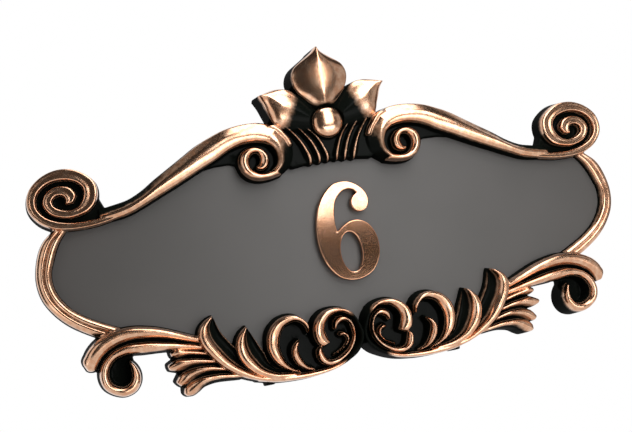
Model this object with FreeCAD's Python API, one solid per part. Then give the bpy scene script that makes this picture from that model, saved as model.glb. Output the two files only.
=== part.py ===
import FreeCAD, Part
import math
import os

V = FreeCAD.Vector

# Driving dimensions in millimetres. The front looks along -Y and the wall is the plane Y = 0.
# Plan sizes: the carving was drawn 410 wide, and every plan point follows the overall width.
overall_width = 410.0
drawn_width = 410.0

# Heights above the wall, each the highest place of its ornament.
arm_crest = 22.5
volute_face = 15.5
rail_crest = 14.0
rib_crest = 22.5
curl_crest = 23.0
finger_crest = 19.5
leaf_crest = 22.7
hook_leaf_crest = 26.0
small_leaf_crest = 25.5
scroll_crest = 26.6
inner_scroll_crest = 24.5
inner_hook_crest = 21.5
collar_rib_crest = 21.0
petal_crest = 25.3
side_petal_crest = 22.5
bead_crest = 25.4
bead_radius = 10.8
draft = 0.10

# Floors between the ornaments.
volute_floor = 8.0
curl_floor = 8.5
rib_floor = 14.0
fan_floor = 7.5
collar_floor = 14.5
crown_floor = 12.0
floor_over_panel = 3.2

# The sheet in its rear rebate, and its screws.
panel_face = 7.8
panel_thickness = 3.0
panel_clearance = 0.3
screw_radius = 1.2
screw_clearance = 0.1
screw_head_radius = 2.6
screw_head_height = 1.6
screw_bite = 5.0
pilot_extra_depth = 0.6

# The figure and its adhesive tape.
numeral_height = 68.3
numeral_thickness = 5.2
numeral_bevel = 0.7
numeral_x = 2.3
numeral_z = 72.9
tape_thickness = 0.8

# Blind holes behind the two large volutes, for studs that stand out of the wall.
stud_hole_radius = 2.5
stud_hole_depth = 5.5
stud_hole_x = 181.0
stud_hole_z = 120.0

# Two short stubs left by the moulding under the lower edge.
stub_x = 66.0
stub_width = 5.5
stub_height = 11.0
stub_drop = 3.2

# How many straight chords stand for each long smooth outline, and the corner kind of an inset.
rebate_chord_count = 60
figure_chord_count = 100
counter_chord_count = 32
mitred_corner = 2

# Carved solids and cutting tools start this far behind the wall plane.
overshoot = 2.0

plan = overall_width / drawn_width
behind_the_wall = Part.makeBox(
    2 * overall_width, 5 * overshoot, 2 * overall_width, V(-overall_width, 0, -overall_width))

# Cross sections from the outer to the inner edge: place across, share of the crest height.
# The place 0.5 is the ridge, which each station puts where the carving has it.
ARM = [(0.0, 0.60), (0.25, 0.80), (0.5, 1.0), (0.75, 0.96), (1.0, 0.80)]
SWELL = [(0.0, 0.88), (0.25, 0.97), (0.5, 1.0), (0.75, 0.97), (1.0, 0.86)]
BAND = [(0.0, 0.86), (0.25, 1.0), (0.75, 0.99), (1.0, 0.84)]
FLAT = [(0.0, 1.0), (0.5, 0.95), (1.0, 1.0)]
RAIL = [(0.0, 0.78), (0.2, 0.95), (0.4, 0.92), (0.5, 0.78), (0.6, 0.96), (0.8, 1.0), (1.0, 0.84)]
SPOON = [(0.0, 0.92), (0.3, 1.0), (0.56, 0.98), (0.7, 0.66), (0.88, 0.58), (1.0, 0.74)]
THIN = [(0.0, 0.86), (0.5, 1.0), (1.0, 0.86)]
FOLDED = [(0.0, 0.86), (0.32, 0.99), (0.5, 1.0), (0.68, 0.99), (1.0, 0.86)]


def section(station, profile, crest):
    """Corners of one cross section, in the upright plane through its outer and inner edge.

    A station is (outer x, outer z, inner x, inner z, share of the crest, place of the ridge).
    """
    ax, az, bx, bz, share, ridge_place = station
    ax, az, bx, bz = ax * plan, az * plan, bx * plan, bz * plan
    width = math.hypot(bx - ax, bz - az)
    ux, uz = (bx - ax) / width, (bz - az) / width
    height = crest * share
    corners = []
    for place, part_of_height in profile:
        if place <= 0.5:
            across = width * place * 2.0 * ridge_place
        else:
            across = width * (ridge_place + (place - 0.5) * 2.0 * (1.0 - ridge_place))
        corners.append(V(ax + ux * across, -height * part_of_height, az + uz * across))
    outer_spread = draft * (height * profile[0][1] + overshoot)
    inner_spread = draft * (height * profile[-1][1] + overshoot)
    outer_foot = V(ax - ux * outer_spread, overshoot, az - uz * outer_spread)
    inner_foot = V(bx + ux * inner_spread, overshoot, bz + uz * inner_spread)
    return [outer_foot] + corners + [inner_foot]


def triangle(a, b, c):
    """Flat face on three corners."""
    return Part.Face(Part.makePolygon([a, b, c, a]))


def carve(stations, profile, crest, last_profile=None):
    """Drafted solid through the cross sections, with chisel-flat facets between neighbours.

    With a last profile, the cross section changes evenly from the first profile to that one.
    """
    rings = []
    for i, station in enumerate(stations):
        share = i / (len(stations) - 1) if last_profile else 0.0
        shape = [
            (first[0], first[1] + (last[1] - first[1]) * share)
            for first, last in zip(profile, last_profile or profile)]
        rings.append(section(station, shape, crest))
    faces = []
    for ring in (rings[0], rings[-1]):
        faces.append(Part.Face(Part.makePolygon(ring + [ring[0]])))
    for ring, following in zip(rings, rings[1:]):
        for i in range(len(ring)):
            j = (i + 1) % len(ring)
            faces.append(triangle(ring[i], ring[j], following[i]))
            faces.append(triangle(ring[j], following[j], following[i]))
    solid = Part.Solid(Part.makeShell(faces))
    if solid.Volume < 0:
        solid.reverse()
    return solid.cut(behind_the_wall)


def carve_coil(stations, turn_ends, profile, crest):
    """Carved solids of one coiled band, a solid for each turn, so that no solid meets itself."""
    starts = [0] + turn_ends
    ends = turn_ends + [len(stations) - 1]
    return [carve(stations[a:b + 1], profile, crest) for a, b in zip(starts, ends)]


def slab(outline, height):
    """Upright solid on a plan outline, from the wall plane up to a height."""
    corners = [V(x * plan, 0, z * plan) for x, z in outline]
    face = Part.Face(Part.makePolygon(corners + [corners[0]]))
    return face.extrude(V(0, -height, 0))


def smooth_wire(points, height, closed=True):
    """Smooth wire through plan points at a height above the wall."""
    curve = Part.BSplineCurve()
    curve.interpolate([V(x, -height, z) for x, z in points], closed)
    return Part.Wire([curve.toShape()])


def chords(wire, count):
    """The same closed wire as straight chords."""
    corners = wire.discretize(Number=count + 1)[:-1]
    return Part.makePolygon(corners + [corners[0]])


def mirrored(points):
    """A closed outline drawn for the left half, from top centre to bottom centre, made whole."""
    return points + [(-x, z) for x, z in reversed(points) if x != 0]


# Large volute: a flat band that coils in from the arm, over a sunk floor.
def large_volute():
    coil = [
        (-138, 107.6, -139, 112, 1.06, 0.5), (-150, 104, -150, 107.8, 1.03, 0.5),
        (-170, 101, -170, 105, 1, 0.5),
        (-180, 101.2, -179, 105.5, 1, 0.5), (-190, 103.5, -188, 108, 1, 0.5),
        (-198.5, 109, -194.5, 112, 1, 0.5), (-203.5, 117.5, -198.2, 118.5, 1, 0.5),
        (-202.3, 128, -197, 126, 1, 0.5), (-194.3, 136.6, -190.5, 131.9, 1, 0.5),
        (-181, 141, -180.5, 134, 1, 0.5), (-168, 137.8, -171, 131.2, 1, 0.5),
        (-159.8, 130, -167.3, 126.2, 1, 0.5), (-159.5, 120, -168.5, 119.5, 1, 0.5),
        (-164.5, 112.8, -172.5, 115, 1, 0.5), (-173, 109.5, -178, 113.6, 1, 0.5),
        (-182, 109.3, -184, 115, 1, 0.5), (-190.3, 113, -187.5, 118, 1, 0.5),
        (-194, 120, -187.8, 121.5, 1, 0.5), (-190.5, 127, -184.8, 124, 1, 0.5),
        (-182, 130, -180.5, 123.5, 1, 0.5), (-175, 127.5, -179.3, 121, 1, 0.5),
        (-172.6, 123, -179.5, 119.5, 1, 0.5), (-175, 118.5, -179.7, 118, 1, 0.5)]
    floor = [
        (-150, 111), (-156, 113), (-158.5, 119), (-160, 127), (-165, 134), (-172, 138.2),
        (-181, 139.4), (-191, 136.8), (-199, 130.8), (-202.8, 123), (-202.8, 116),
        (-198, 108.9), (-190, 104), (-180, 101.8), (-165, 101.8), (-150, 104.6)]
    return [slab(floor, volute_floor)] + carve_coil(coil, [6, 14], FLAT, volute_face)


# S-shaped arm: it rises from the large volute, swells and coils into the small one.
def arm():
    stations = [
        (-160, 112, -159, 103, 0.69, 0.6), (-150, 113.5, -150, 103.5, 0.76, 0.55),
        (-140, 115.5, -140, 105.5, 0.82, 0.5), (-130, 120, -130, 109.5, 0.87, 0.52),
        (-120, 126.5, -120, 114, 0.89, 0.48), (-110, 132.5, -110, 118.5, 0.91, 0.46),
        (-100, 138.5, -100, 123.2, 0.93, 0.45), (-90, 144.5, -90, 128, 0.96, 0.43),
        (-80, 149, -79, 133, 0.98, 0.4), (-70, 152.5, -69, 138.3, 0.99, 0.42),
        (-58, 154.2, -60, 140.9, 1, 0.5), (-46, 153.5, -51, 141.3, 1, 0.55),
        (-35, 149.5, -44.5, 139.8, 1, 0.6), (-28.5, 141, -40.3, 136, 1, 0.65),
        (-27, 131, -38.3, 130, 0.97, 0.7), (-30, 122.5, -39.3, 124.5, 0.97, 0.65),
        (-37, 117, -43, 120.5, 0.97, 0.55), (-46, 114.8, -47.5, 119, 0.97, 0.5),
        (-55, 115.8, -52.5, 119.8, 0.97, 0.5), (-61.5, 120, -56, 122.8, 0.97, 0.5),
        (-64.5, 127, -57.6, 127.3, 0.97, 0.5), (-62.8, 133, -56.5, 131.5, 0.97, 0.5),
        (-57.5, 137, -53.8, 133.8, 0.97, 0.5), (-51, 137.8, -50.5, 133.8, 0.97, 0.5),
        (-45.8, 134.5, -47.8, 131.5, 0.96, 0.5), (-43.6, 128.8, -46.8, 128, 0.93, 0.5),
        (-45.2, 124.3, -47.8, 125.3, 0.91, 0.5), (-49, 122.6, -49.8, 124.2, 0.89, 0.5),
        (-52.3, 123.6, -52.0, 124.6, 0.84, 0.5)]
    web = [
        (-92, 140), (-92, 127.5), (-80, 129.4), (-70, 129.6), (-66, 128), (-63, 120),
        (-55, 117), (-46, 116), (-36, 118), (-32, 124), (-32, 140), (-50, 147), (-70, 147)]
    bed = slab(web, volute_floor + floor_over_panel)
    rising = carve(stations[:13], ARM, arm_crest, SWELL)
    falling = carve(stations[12:17], SWELL, arm_crest, ARM)
    return [bed, rising, falling] + carve_coil(stations[16:], [5], BAND, arm_crest)


# Side rail: a double ridge, with the inner bead higher than the outer one.
def rail():
    stations = [
        (-190, 103, -180, 103, 0.92, 0.5), (-197.5, 96, -187, 94.5, 1, 0.5),
        (-202.5, 86, -192.5, 83, 1, 0.5), (-205, 73, -195.3, 73, 1, 0.5),
        (-203.5, 61, -193.6, 62.2, 1, 0.5), (-198, 50.5, -187, 51.7, 1, 0.5),
        (-189, 40.8, -177, 43.6, 1, 0.5), (-180, 34.5, -167.2, 38.2, 1, 0.5),
        (-170, 29, -157.5, 33.6, 1, 0.5), (-162, 26, -149.5, 30.4, 0.97, 0.5)]
    return [carve(stations, RAIL, rail_crest)]


# Lower corner: two ribs leave the leaf, one ends in a lobe and the other in a hollow curl.
def corner_ribs():
    lobe = [
        (-106, 18, -106, 14, 0.76, 0.35), (-115, 21.8, -115, 17, 0.89, 0.35),
        (-140, 31, -140, 24, 1, 0.35),
        (-155, 32.8, -155, 24.5, 1, 0.35), (-167, 30.5, -165, 21.5, 1, 0.35),
        (-176, 26, -171.5, 17, 0.98, 0.35), (-181.5, 20, -175, 12.5, 0.91, 0.35),
        (-183.7, 14.5, -177, 9.5, 0.82, 0.35), (-181.8, 10.3, -178.5, 9.2, 0.76, 0.35)]
    curl = [
        (-104, 13, -104, 9.5, 0.7, 0.35),
        (-130, 19.4, -130, 14.3, 0.96, 0.35), (-145, 22, -145, 15.2, 0.99, 0.35),
        (-158, 21.8, -157, 16, 1, 0.4), (-167, 18, -164, 13.8, 1, 0.4),
        (-173, 11.5, -168, 9, 1, 0.5), (-174.8, 4, -169, 4, 1, 0.5),
        (-172.8, -3, -167.3, -0.5, 0.98, 0.5), (-167.5, -7.6, -164, -2.8, 0.96, 0.5),
        (-160.5, -9.8, -160.3, -3.5, 0.96, 0.5), (-153.8, -7.8, -157, -2, 0.93, 0.5),
        (-150, -2.5, -155, 1.5, 0.91, 0.5), (-149.7, 4, -154.5, 5.5, 0.87, 0.5),
        (-152, 9, -154.8, 8.8, 0.83, 0.5), (-154.5, 11.7, -155.2, 11, 0.8, 0.5)]
    groove = [
        (-104, 16), (-125, 22), (-150, 27), (-168, 24), (-178, 16), (-180, 11), (-174, 10),
        (-172, 14), (-166, 19), (-150, 19), (-125, 16), (-104, 11)]
    hollow = [
        (-172, 4), (-168, -3), (-160, -7), (-153, -3), (-152, 5), (-153, 14), (-148, 17),
        (-158, 19), (-168, 15)]
    return [slab(groove, rib_floor), slab(hollow, curl_floor),
            carve(lobe, BAND, rib_crest), carve(curl, BAND, curl_crest)]


# Fan: four round-ended fingers that spread from under the first leaf.
def fan():
    fingers = [
        [(-100, 7.5, -100, 4, 0.91, 0.35),
         (-119, 12.4, -119, 8, 0.93, 0.35), (-125.5, 14, -125, 8.2, 0.93, 0.4),
         (-128.5, 12.5, -128, 9.4, 0.88, 0.5)],
        [(-96, 2, -96, -1, 0.97, 0.35),
         (-117, 6.4, -117, 0.3, 0.97, 0.35), (-126, 6.8, -125.5, -0.6, 0.95, 0.4),
         (-131.2, 4.4, -130.5, 1, 0.88, 0.5)],
        [(-90, -4.5, -90, -7, 1, 0.35),
         (-110, 0.2, -110, -6, 1, 0.35), (-118.5, -0.4, -117, -7.8, 0.97, 0.4),
         (-124.5, -3, -121.3, -9.8, 0.94, 0.5), (-127.6, -7, -124.8, -10.2, 0.88, 0.5)],
        [(-85, -9, -85, -12.8, 1.03, 0.4),
         (-104, -6.3, -104, -12, 1.03, 0.4), (-112, -6.7, -110, -13.3, 1.03, 0.4),
         (-119.2, -9, -114.5, -16, 0.98, 0.5), (-123.4, -12.8, -118.5, -17.4, 0.92, 0.5),
         (-123.6, -15.2, -121.5, -17.2, 0.86, 0.5)]]
    web = [
        (-92, 6), (-110, 8), (-125, 12.5), (-128, 9), (-126, 7), (-130, 4.5), (-129, 0.8),
        (-123, -1), (-126, -5), (-124, -9), (-117.5, -8), (-121.5, -13), (-118, -16.5),
        (-112, -13), (-92, -11)]
    return [slab(web, fan_floor)] + [carve(finger, BAND, finger_crest) for finger in fingers]


# Acanthus leaves: two spooned leaves, a hooked one and a small inner one, on a common bed.
def leaves():
    first = [
        (-62, -18.5, -62, -14, 0.81, 0.4), (-75, -15.5, -72, -10.5, 0.86, 0.35),
        (-88, -9.5, -79, -3, 0.91, 0.3), (-97, -2.5, -84, 3, 0.96, 0.27),
        (-104, 6, -87, 8.5, 0.98, 0.25), (-108.5, 14, -90.5, 13.5, 0.98, 0.24),
        (-109.5, 20, -94, 19, 0.97, 0.26), (-107, 26, -96.3, 25, 0.96, 0.3),
        (-102, 29.7, -97.3, 28.5, 0.94, 0.4), (-98.9, 30.9, -97.9, 30.2, 0.91, 0.5)]
    second = [
        (-50, -18, -50, -13, 0.84, 0.4), (-66, -15.5, -62, -9.5, 0.91, 0.35),
        (-76, -11, -66.5, -4, 0.96, 0.3), (-82, -5, -68, 1, 1, 0.27),
        (-85.5, 2, -70, 5, 1, 0.26), (-86.2, 9, -72, 9.5, 1, 0.27),
        (-84, 15, -74.2, 14, 0.98, 0.32), (-80.5, 18.6, -76, 18, 0.96, 0.42),
        (-77.8, 20.4, -76.8, 19.6, 0.94, 0.5)]
    hooked = [
        (-46, -15.5, -47.5, -13, 0.7, 0.4), (-56, -12, -53, -8.5, 0.8, 0.4),
        (-62, -6, -57, -3, 0.86, 0.4), (-65.2, 2, -58.5, 3, 0.89, 0.4),
        (-65, 9, -57.5, 9.5, 0.91, 0.4), (-61, 16.5, -54.5, 14, 0.93, 0.4),
        (-55, 21.3, -50.5, 17.3, 0.95, 0.4), (-49, 22.9, -47.5, 18.3, 0.97, 0.4),
        (-43, 22.2, -43.5, 17.5, 0.99, 0.4), (-38.3, 19, -40, 14.8, 1, 0.4),
        (-36.3, 15, -38.8, 12.2, 0.99, 0.45), (-37.4, 9.2, -38.3, 9.3, 0.92, 0.5)]
    inner = [
        (-34, -16.3, -33, -13.5, 0.8, 0.4), (-42, -14.2, -39, -11, 0.87, 0.4),
        (-47.5, -9, -43.5, -7, 0.94, 0.4), (-49.5, -3, -45.5, -2, 0.99, 0.4),
        (-48, 2, -45, 1.5, 1, 0.4), (-44.4, 5.3, -43.5, 4.4, 0.96, 0.5)]
    bed = [
        (0.5, 3), (-3, 12), (-10, 18), (-17, 20.5), (-25, 18), (-31, 12), (-33, 5), (-36, 6),
        (-38, 10), (-38, 15), (-43, 19), (-50, 20), (-58, 16), (-63, 8), (-64, 0), (-68, 3),
        (-71, 8), (-75, 15), (-80, 16), (-84, 9), (-84, 2), (-88, 8), (-92, 14), (-97, 24),
        (-102, 26), (-107, 20), (-106, 10), (-100, 0), (-90, -7), (-75, -14), (-60, -17.5),
        (-40, -18), (-20, -15), (-8, -9), (0.5, -1)]
    return [slab(bed, panel_face + floor_over_panel),
            carve(first, SPOON, leaf_crest), carve(second, SPOON, leaf_crest),
            carve(hooked, BAND, hook_leaf_crest), carve(inner, BAND, small_leaf_crest)]


# Centre scroll: an outer band that runs on as the stem, a second band and a small hook inside.
def centre_scroll():
    outer = [
        (-20.6, 7.2, -22.6, 6.0, 0.89, 0.5), (-24, 0.2, -24.5, 4, 0.94, 0.45),
        (-28, -0.9, -26.8, 4, 0.97, 0.4), (-32, 2, -28.3, 6, 0.99, 0.4),
        (-33.7, 7.5, -28.6, 9, 1, 0.4), (-32, 13.5, -26.8, 13.8, 1, 0.4),
        (-28, 18.3, -23.7, 17.5, 0.99, 0.4), (-22, 21.9, -19.5, 19.4, 0.98, 0.4),
        (-16, 22.7, -15.3, 20, 0.96, 0.4), (-10, 21, -10.5, 18, 0.94, 0.45),
        (-5, 16.8, -6.8, 14.6, 0.91, 0.5), (-1.5, 10, -4.2, 9, 0.87, 0.5),
        (0.5, 3, -2.8, 2.5, 0.83, 0.5), (-1, -3.5, -4, -2.3, 0.79, 0.5),
        (-5, -9, -7.3, -6.3, 0.77, 0.5), (-12, -13.5, -13, -10.8, 0.74, 0.5),
        (-20, -16.8, -20, -14, 0.74, 0.5), (-35, -19.5, -35, -16, 0.74, 0.5),
        (-50, -19.9, -50, -15.5, 0.74, 0.45), (-62, -19, -60, -14.5, 0.72, 0.45),
        (-75, -16.2, -73, -12.5, 0.68, 0.45)]
    inner = [
        (-18.8, 11, -16.9, 9.5, 0.91, 0.5), (-16.5, 14.8, -15, 11.5, 0.98, 0.5),
        (-12.5, 15.9, -12.3, 12, 1, 0.5), (-8.3, 13.3, -9.6, 11, 0.98, 0.5),
        (-5.3, 8, -7.2, 7.5, 0.93, 0.5), (-4.4, 2.5, -6.4, 2.5, 0.91, 0.5),
        (-6.2, -3, -8, -1.9, 0.89, 0.5), (-10.5, -8.5, -11.9, -6.3, 0.89, 0.5),
        (-16, -12.3, -16.5, -9.7, 0.89, 0.5), (-22, -14.3, -21.7, -11.2, 0.91, 0.5),
        (-28, -14, -26.3, -10.5, 0.93, 0.5), (-32.2, -10.3, -29, -8, 0.95, 0.5),
        (-33, -6, -30, -5.5, 0.95, 0.5), (-29.8, -2.2, -29.0, -3.0, 0.91, 0.5)]
    hook = [
        (-17.2, 5.6, -16, 3.5, 0.92, 0.5), (-14, 6.2, -14, 3.8, 1, 0.5),
        (-11, 4.2, -12.8, 2.8, 1, 0.5), (-10.2, 0.5, -12.3, 0.5, 0.97, 0.5),
        (-12, -3, -13.4, -2, 0.89, 0.5), (-16, -6, -16.4, -4.9, 0.84, 0.5),
        (-22, -8.7, -22, -7.7, 0.78, 0.5)]
    return [carve(outer, BAND, scroll_crest), carve(inner, BAND, inner_scroll_crest),
            carve(hook, BAND, inner_hook_crest)]


# Collar: a sunk web between the arms, crossed by three thin curved ribs on each side.
def collar():
    web = [
        (0.5, 123), (-16, 122.5), (-28, 121), (-33, 124), (-33, 146), (-28, 149), (-12, 146),
        (0.5, 140)]
    ribs = [
        [(-29.2, 147.6, -26.8, 146.9, 1, 0.5), (-24.2, 141.4, -21.8, 140.4, 1, 0.5),
         (-19.7, 133.5, -17.3, 132.5, 0.95, 0.5), (-16.7, 124.3, -14.3, 124.1, 0.81, 0.5)],
        [(-21.6, 146.6, -19.4, 145.6, 1, 0.5), (-16.1, 139.5, -13.9, 138.5, 1, 0.5),
         (-12.1, 131.5, -9.9, 130.5, 0.95, 0.5), (-10.2, 124.5, -7.9, 124.2, 0.81, 0.5)],
        [(-15, 145.5, -13, 144.5, 0.98, 0.5), (-10, 139.5, -8, 138.5, 0.98, 0.5),
         (-6.5, 132.4, -4.5, 131.6, 0.93, 0.5), (-4.3, 124.5, -2.1, 124.3, 0.81, 0.5)]]
    return [slab(web, collar_floor)] + [carve(rib, THIN, collar_rib_crest) for rib in ribs]


# Side petal of the crown: a folded leaf that leans outwards.
def side_petal():
    petal = [
        (-6, 158, -12, 143, 0.94, 0.45), (-16, 169, -26, 146, 0.98, 0.45),
        (-24, 174.2, -35.3, 150, 1, 0.45), (-31, 175.2, -39, 159, 1, 0.45),
        (-38, 174, -42, 167, 1, 0.45), (-44.2, 172, -44, 170.8, 1, 0.5)]
    web = [
        (0.5, 140), (-14, 146), (-33, 147), (-30, 152), (-14, 160), (-12, 170), (0.5, 175)]
    return [slab(web, crown_floor), carve(petal, FOLDED, side_petal_crest)]


# Middle of the crown: the tall folded petal and the round bead below it.
def crown_middle():
    rows = [
        (0.4, 201, 1), (3, 197.8, 1), (9.8, 193, 1), (16, 188.6, 1), (19.2, 183, 1),
        (19, 176.5, 1), (16, 170, 0.99), (11, 164, 0.96), (5, 157, 0.9)]
    petal = [(-x, z, x, z, share, 0.5) for x, z, share in rows]
    bead = Part.makeSphere(bead_radius, V(0, bead_radius - bead_crest, 148.0 * plan))
    return [carve(petal, FOLDED, petal_crest), bead]


def stub():
    """Short square stub under the stem."""
    x = stub_x * plan
    half = stub_width / 2.0
    bottom = -17.0 * plan - stub_drop
    return Part.makeBox(stub_width, stub_height, 6.0, V(-x - half, -stub_height, bottom))


def rebate_outline(inset):
    """Closed wire round the rear rebate, drawn in by a clearance, at the wall plane."""
    left = [
        (0, 129), (-25, 130), (-50, 133), (-70, 138), (-90, 137), (-110, 125.5), (-130, 114.5),
        (-150, 108), (-168, 105), (-183, 101), (-195, 91), (-200.5, 73), (-198, 58),
        (-187, 45), (-170, 35.5), (-150, 28), (-125, 20.5), (-105, 11), (-85, 4.5), (-60, 2.2),
        (-30, 2)]
    points = [(x * plan, z * plan) for x, z in mirrored(left + [(0, 2)])]
    wire = chords(smooth_wire(points, 0.0), rebate_chord_count)
    return wire.makeOffset2D(-inset, mitred_corner) if inset else wire


def rebate_solid(inset, low, high):
    """Upright solid on the rebate's outline between two heights above the wall."""
    solid = Part.Face(rebate_outline(inset)).extrude(V(0, -(high - low), 0))
    solid.translate(V(0, -low, 0))
    return solid


# Screw places: under the arm's swell and in the hooked leaf, on both sides.
screw_places = [(-90, 132.5), (-61.5, 8.5)]


def at_screws(radius, low, high):
    """Cylinders on the screw places between two heights above the wall."""
    pins = []
    for x, z in screw_places:
        for side in (1, -1):
            foot = V(side * x * plan, -low, z * plan)
            pins.append(Part.makeCylinder(radius, high - low, foot, V(0, -1, 0)))
    return pins


def frame():
    """The carved surround in one solid, with its rear rebate, pilot holes and stud holes."""
    half = large_volute() + arm() + rail() + corner_ribs() + fan() + leaves()
    half += centre_scroll() + collar() + side_petal()
    left = half[0].multiFuse(half[1:])
    right = left.mirror(V(0, 0, 0), V(1, 0, 0))
    left_stub = stub()
    right_stub = left_stub.mirror(V(0, 0, 0), V(1, 0, 0))
    body = left.multiFuse([right, left_stub, right_stub] + crown_middle())
    tools = [rebate_solid(0.0, -overshoot, panel_face)]
    pilot = panel_face + screw_bite + pilot_extra_depth
    tools += at_screws(screw_radius + screw_clearance / 2, 0, pilot)
    for side in (-1, 1):
        mouth = V(side * stud_hole_x * plan, overshoot, stud_hole_z * plan)
        depth = stud_hole_depth + overshoot
        tools.append(Part.makeCylinder(stud_hole_radius, depth, mouth, V(0, -1, 0)))
    return body.cut(tools)


def name_panel():
    """Flat sheet with clearance holes for its screws."""
    sheet = rebate_solid(panel_clearance, panel_face - panel_thickness, panel_face)
    return sheet.cut(at_screws(screw_radius + screw_clearance, 0, panel_face + overshoot))


def panel_screws():
    """Four pan-head screws, head against the back of the sheet."""
    seat = panel_face - panel_thickness
    shanks = at_screws(screw_radius, seat, panel_face + screw_bite)
    heads = at_screws(screw_head_radius, seat - screw_head_height, seat)
    return Part.makeCompound([head.fuse(shank) for head, shank in zip(heads, shanks)])


# Numeral outline, drawn about the middle of the figure for a height of 68.3.
drawn_numeral_height = 68.3
hook_inside = [
    (-6.8, 0.5), (-7.1, 7), (-6.3, 15), (-4.6, 21), (-1.6, 25.2), (2.4, 27.8), (6.4, 28.3),
    (9.2, 27.2), (10.9, 25.3)]
bulb_and_back = [
    (10.9, 25.3), (7.2, 22.3), (5.9, 18), (7.7, 13.6), (12.2, 11.7), (16.9, 13.7), (18.9, 18.8),
    (17.6, 24.6), (13.6, 29.6), (8.4, 32.9), (2.2, 34.1), (-5, 32.9), (-11.8, 27.5),
    (-16.8, 20), (-20.2, 9), (-21.3, -3), (-20, -14), (-16.4, -23.4), (-10, -30.8),
    (-1.5, -34), (6.5, -33.4), (14.2, -29.5), (19.3, -22), (21.2, -11.5), (19.7, -3.6),
    (15.6, 3.2), (9.6, 6.4), (4, 6.4), (-1.6, 4.2), (-6.8, 0.5)]
counter_centre = (0.9, -14.6)
counter_half_width = 7.5
counter_half_height = 13.6
# Pieces of tape behind the stem, the right side of the bowl and the bulb: centre, half width, half height.
tape_places = [(-12.6, -3, 4.4, 13), (14.2, -13, 3.6, 8), (12.4, 18.6, 3.8, 3.8)]


def numeral_point(x, z):
    """A point of the figure's drawing, at its place on the plaque."""
    scale = numeral_height / drawn_numeral_height
    return numeral_x * plan + x * scale, numeral_z * plan + z * scale


def numeral_wires(height):
    """Outer and inner wire of the figure at a height above the wall."""
    edges = []
    for run in (hook_inside, bulb_and_back):
        points = [numeral_point(x, z) for x, z in run]
        edges += smooth_wire(points, height, closed=False).Edges
    centre_x, centre_z = numeral_point(*counter_centre)
    right, top = numeral_point(
        counter_centre[0] + counter_half_width, counter_centre[1] + counter_half_height)
    centre = V(centre_x, -height, centre_z)
    ellipse = Part.Ellipse(V(centre_x, -height, top), V(right, -height, centre_z), centre)
    outer = chords(Part.Wire(edges), figure_chord_count)
    return outer, chords(Part.Wire([ellipse.toShape()]), counter_chord_count)


def numeral():
    """Cast figure with a narrow bevel round its face."""
    base = panel_face + tape_thickness
    outer, inner = numeral_wires(base)
    along = V(0, -numeral_thickness, 0)
    solid = Part.Face(outer).extrude(along).cut(Part.Face(inner).extrude(along))
    front = -(base + numeral_thickness)
    rim = [e for e in solid.Edges if abs(e.BoundBox.YMin - front) < 1e-6]
    rim = [e for e in rim if abs(e.BoundBox.YMax - front) < 1e-6]
    return solid.makeChamfer(numeral_bevel, rim)


def numeral_tape():
    """Three pieces of adhesive tape between the sheet and the figure."""
    pieces = []
    for x, z, half_width, half_height in tape_places:
        low_x, low_z = numeral_point(x - half_width, z - half_height)
        high_x, high_z = numeral_point(x + half_width, z + half_height)
        corner = V(low_x, -panel_face - tape_thickness, low_z)
        pieces.append(Part.makeBox(high_x - low_x, tape_thickness, high_z - low_z, corner))
    return Part.makeCompound(pieces)


def save(shape, name):
    """Write one sub-part in its own file, with the origin between the two stud holes."""
    shape.translate(V(0, 0, -stud_hole_z * plan))
    shape.exportStep("parts/" + name + ".step")
    print(name, len(shape.Solids), "solids", shape.isValid(), round(shape.Volume), "mm3")


os.makedirs("parts", exist_ok=True)
save(frame(), "frame")
save(name_panel(), "name_panel")
save(panel_screws(), "panel_screws")
save(numeral(), "numeral_6")
save(numeral_tape(), "numeral_tape")
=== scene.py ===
import logging
import math
from dataclasses import dataclass, field
from enum import Enum

import bmesh
import bpy
import numpy as np
from mathutils import Matrix, Vector


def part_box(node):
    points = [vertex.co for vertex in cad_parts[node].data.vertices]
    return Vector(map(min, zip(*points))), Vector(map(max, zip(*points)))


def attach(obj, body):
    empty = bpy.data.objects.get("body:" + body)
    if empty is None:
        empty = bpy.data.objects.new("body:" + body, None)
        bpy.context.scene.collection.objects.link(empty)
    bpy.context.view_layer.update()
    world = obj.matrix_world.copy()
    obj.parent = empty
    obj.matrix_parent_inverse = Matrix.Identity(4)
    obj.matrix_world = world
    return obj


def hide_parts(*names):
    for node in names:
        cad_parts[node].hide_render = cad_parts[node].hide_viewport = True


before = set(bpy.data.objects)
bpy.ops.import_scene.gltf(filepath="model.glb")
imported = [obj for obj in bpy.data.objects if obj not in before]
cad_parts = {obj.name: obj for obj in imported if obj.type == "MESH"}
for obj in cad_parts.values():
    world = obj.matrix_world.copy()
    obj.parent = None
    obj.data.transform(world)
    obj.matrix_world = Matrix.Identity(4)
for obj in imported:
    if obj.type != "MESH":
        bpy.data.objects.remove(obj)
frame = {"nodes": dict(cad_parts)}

log = logging.getLogger("plaque")

# The carving's drawing: millimetres at full size, left half only, heights above the wall.
DRAWN_WIDTH = 412.18
DRAWN_ORIGIN_Z = 120.0

# Outer x and z, inner x and z, and then, where they aren't usual, share and ridge.
Station = tuple[float, ...]
USUAL_END = (1.0, 0.5)
Knot = tuple[float, float, float]
Point = tuple[float, float]


@dataclass(frozen=True)
class Drawing:
    """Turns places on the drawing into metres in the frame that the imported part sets.

    Attributes:
        unit: Metres for one drawing unit.
    """

    unit: float

    @classmethod
    def from_frame(cls) -> "Drawing":
        """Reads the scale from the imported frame's width."""
        low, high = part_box("frame")
        return cls(unit=(high.x - low.x) / DRAWN_WIDTH)

    def place(self, x: float, z: float, height: float) -> Vector:
        """A drawing point at a height above the wall, in metres."""
        return Vector((x * self.unit, -height * self.unit, (z - DRAWN_ORIGIN_Z) * self.unit))


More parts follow.
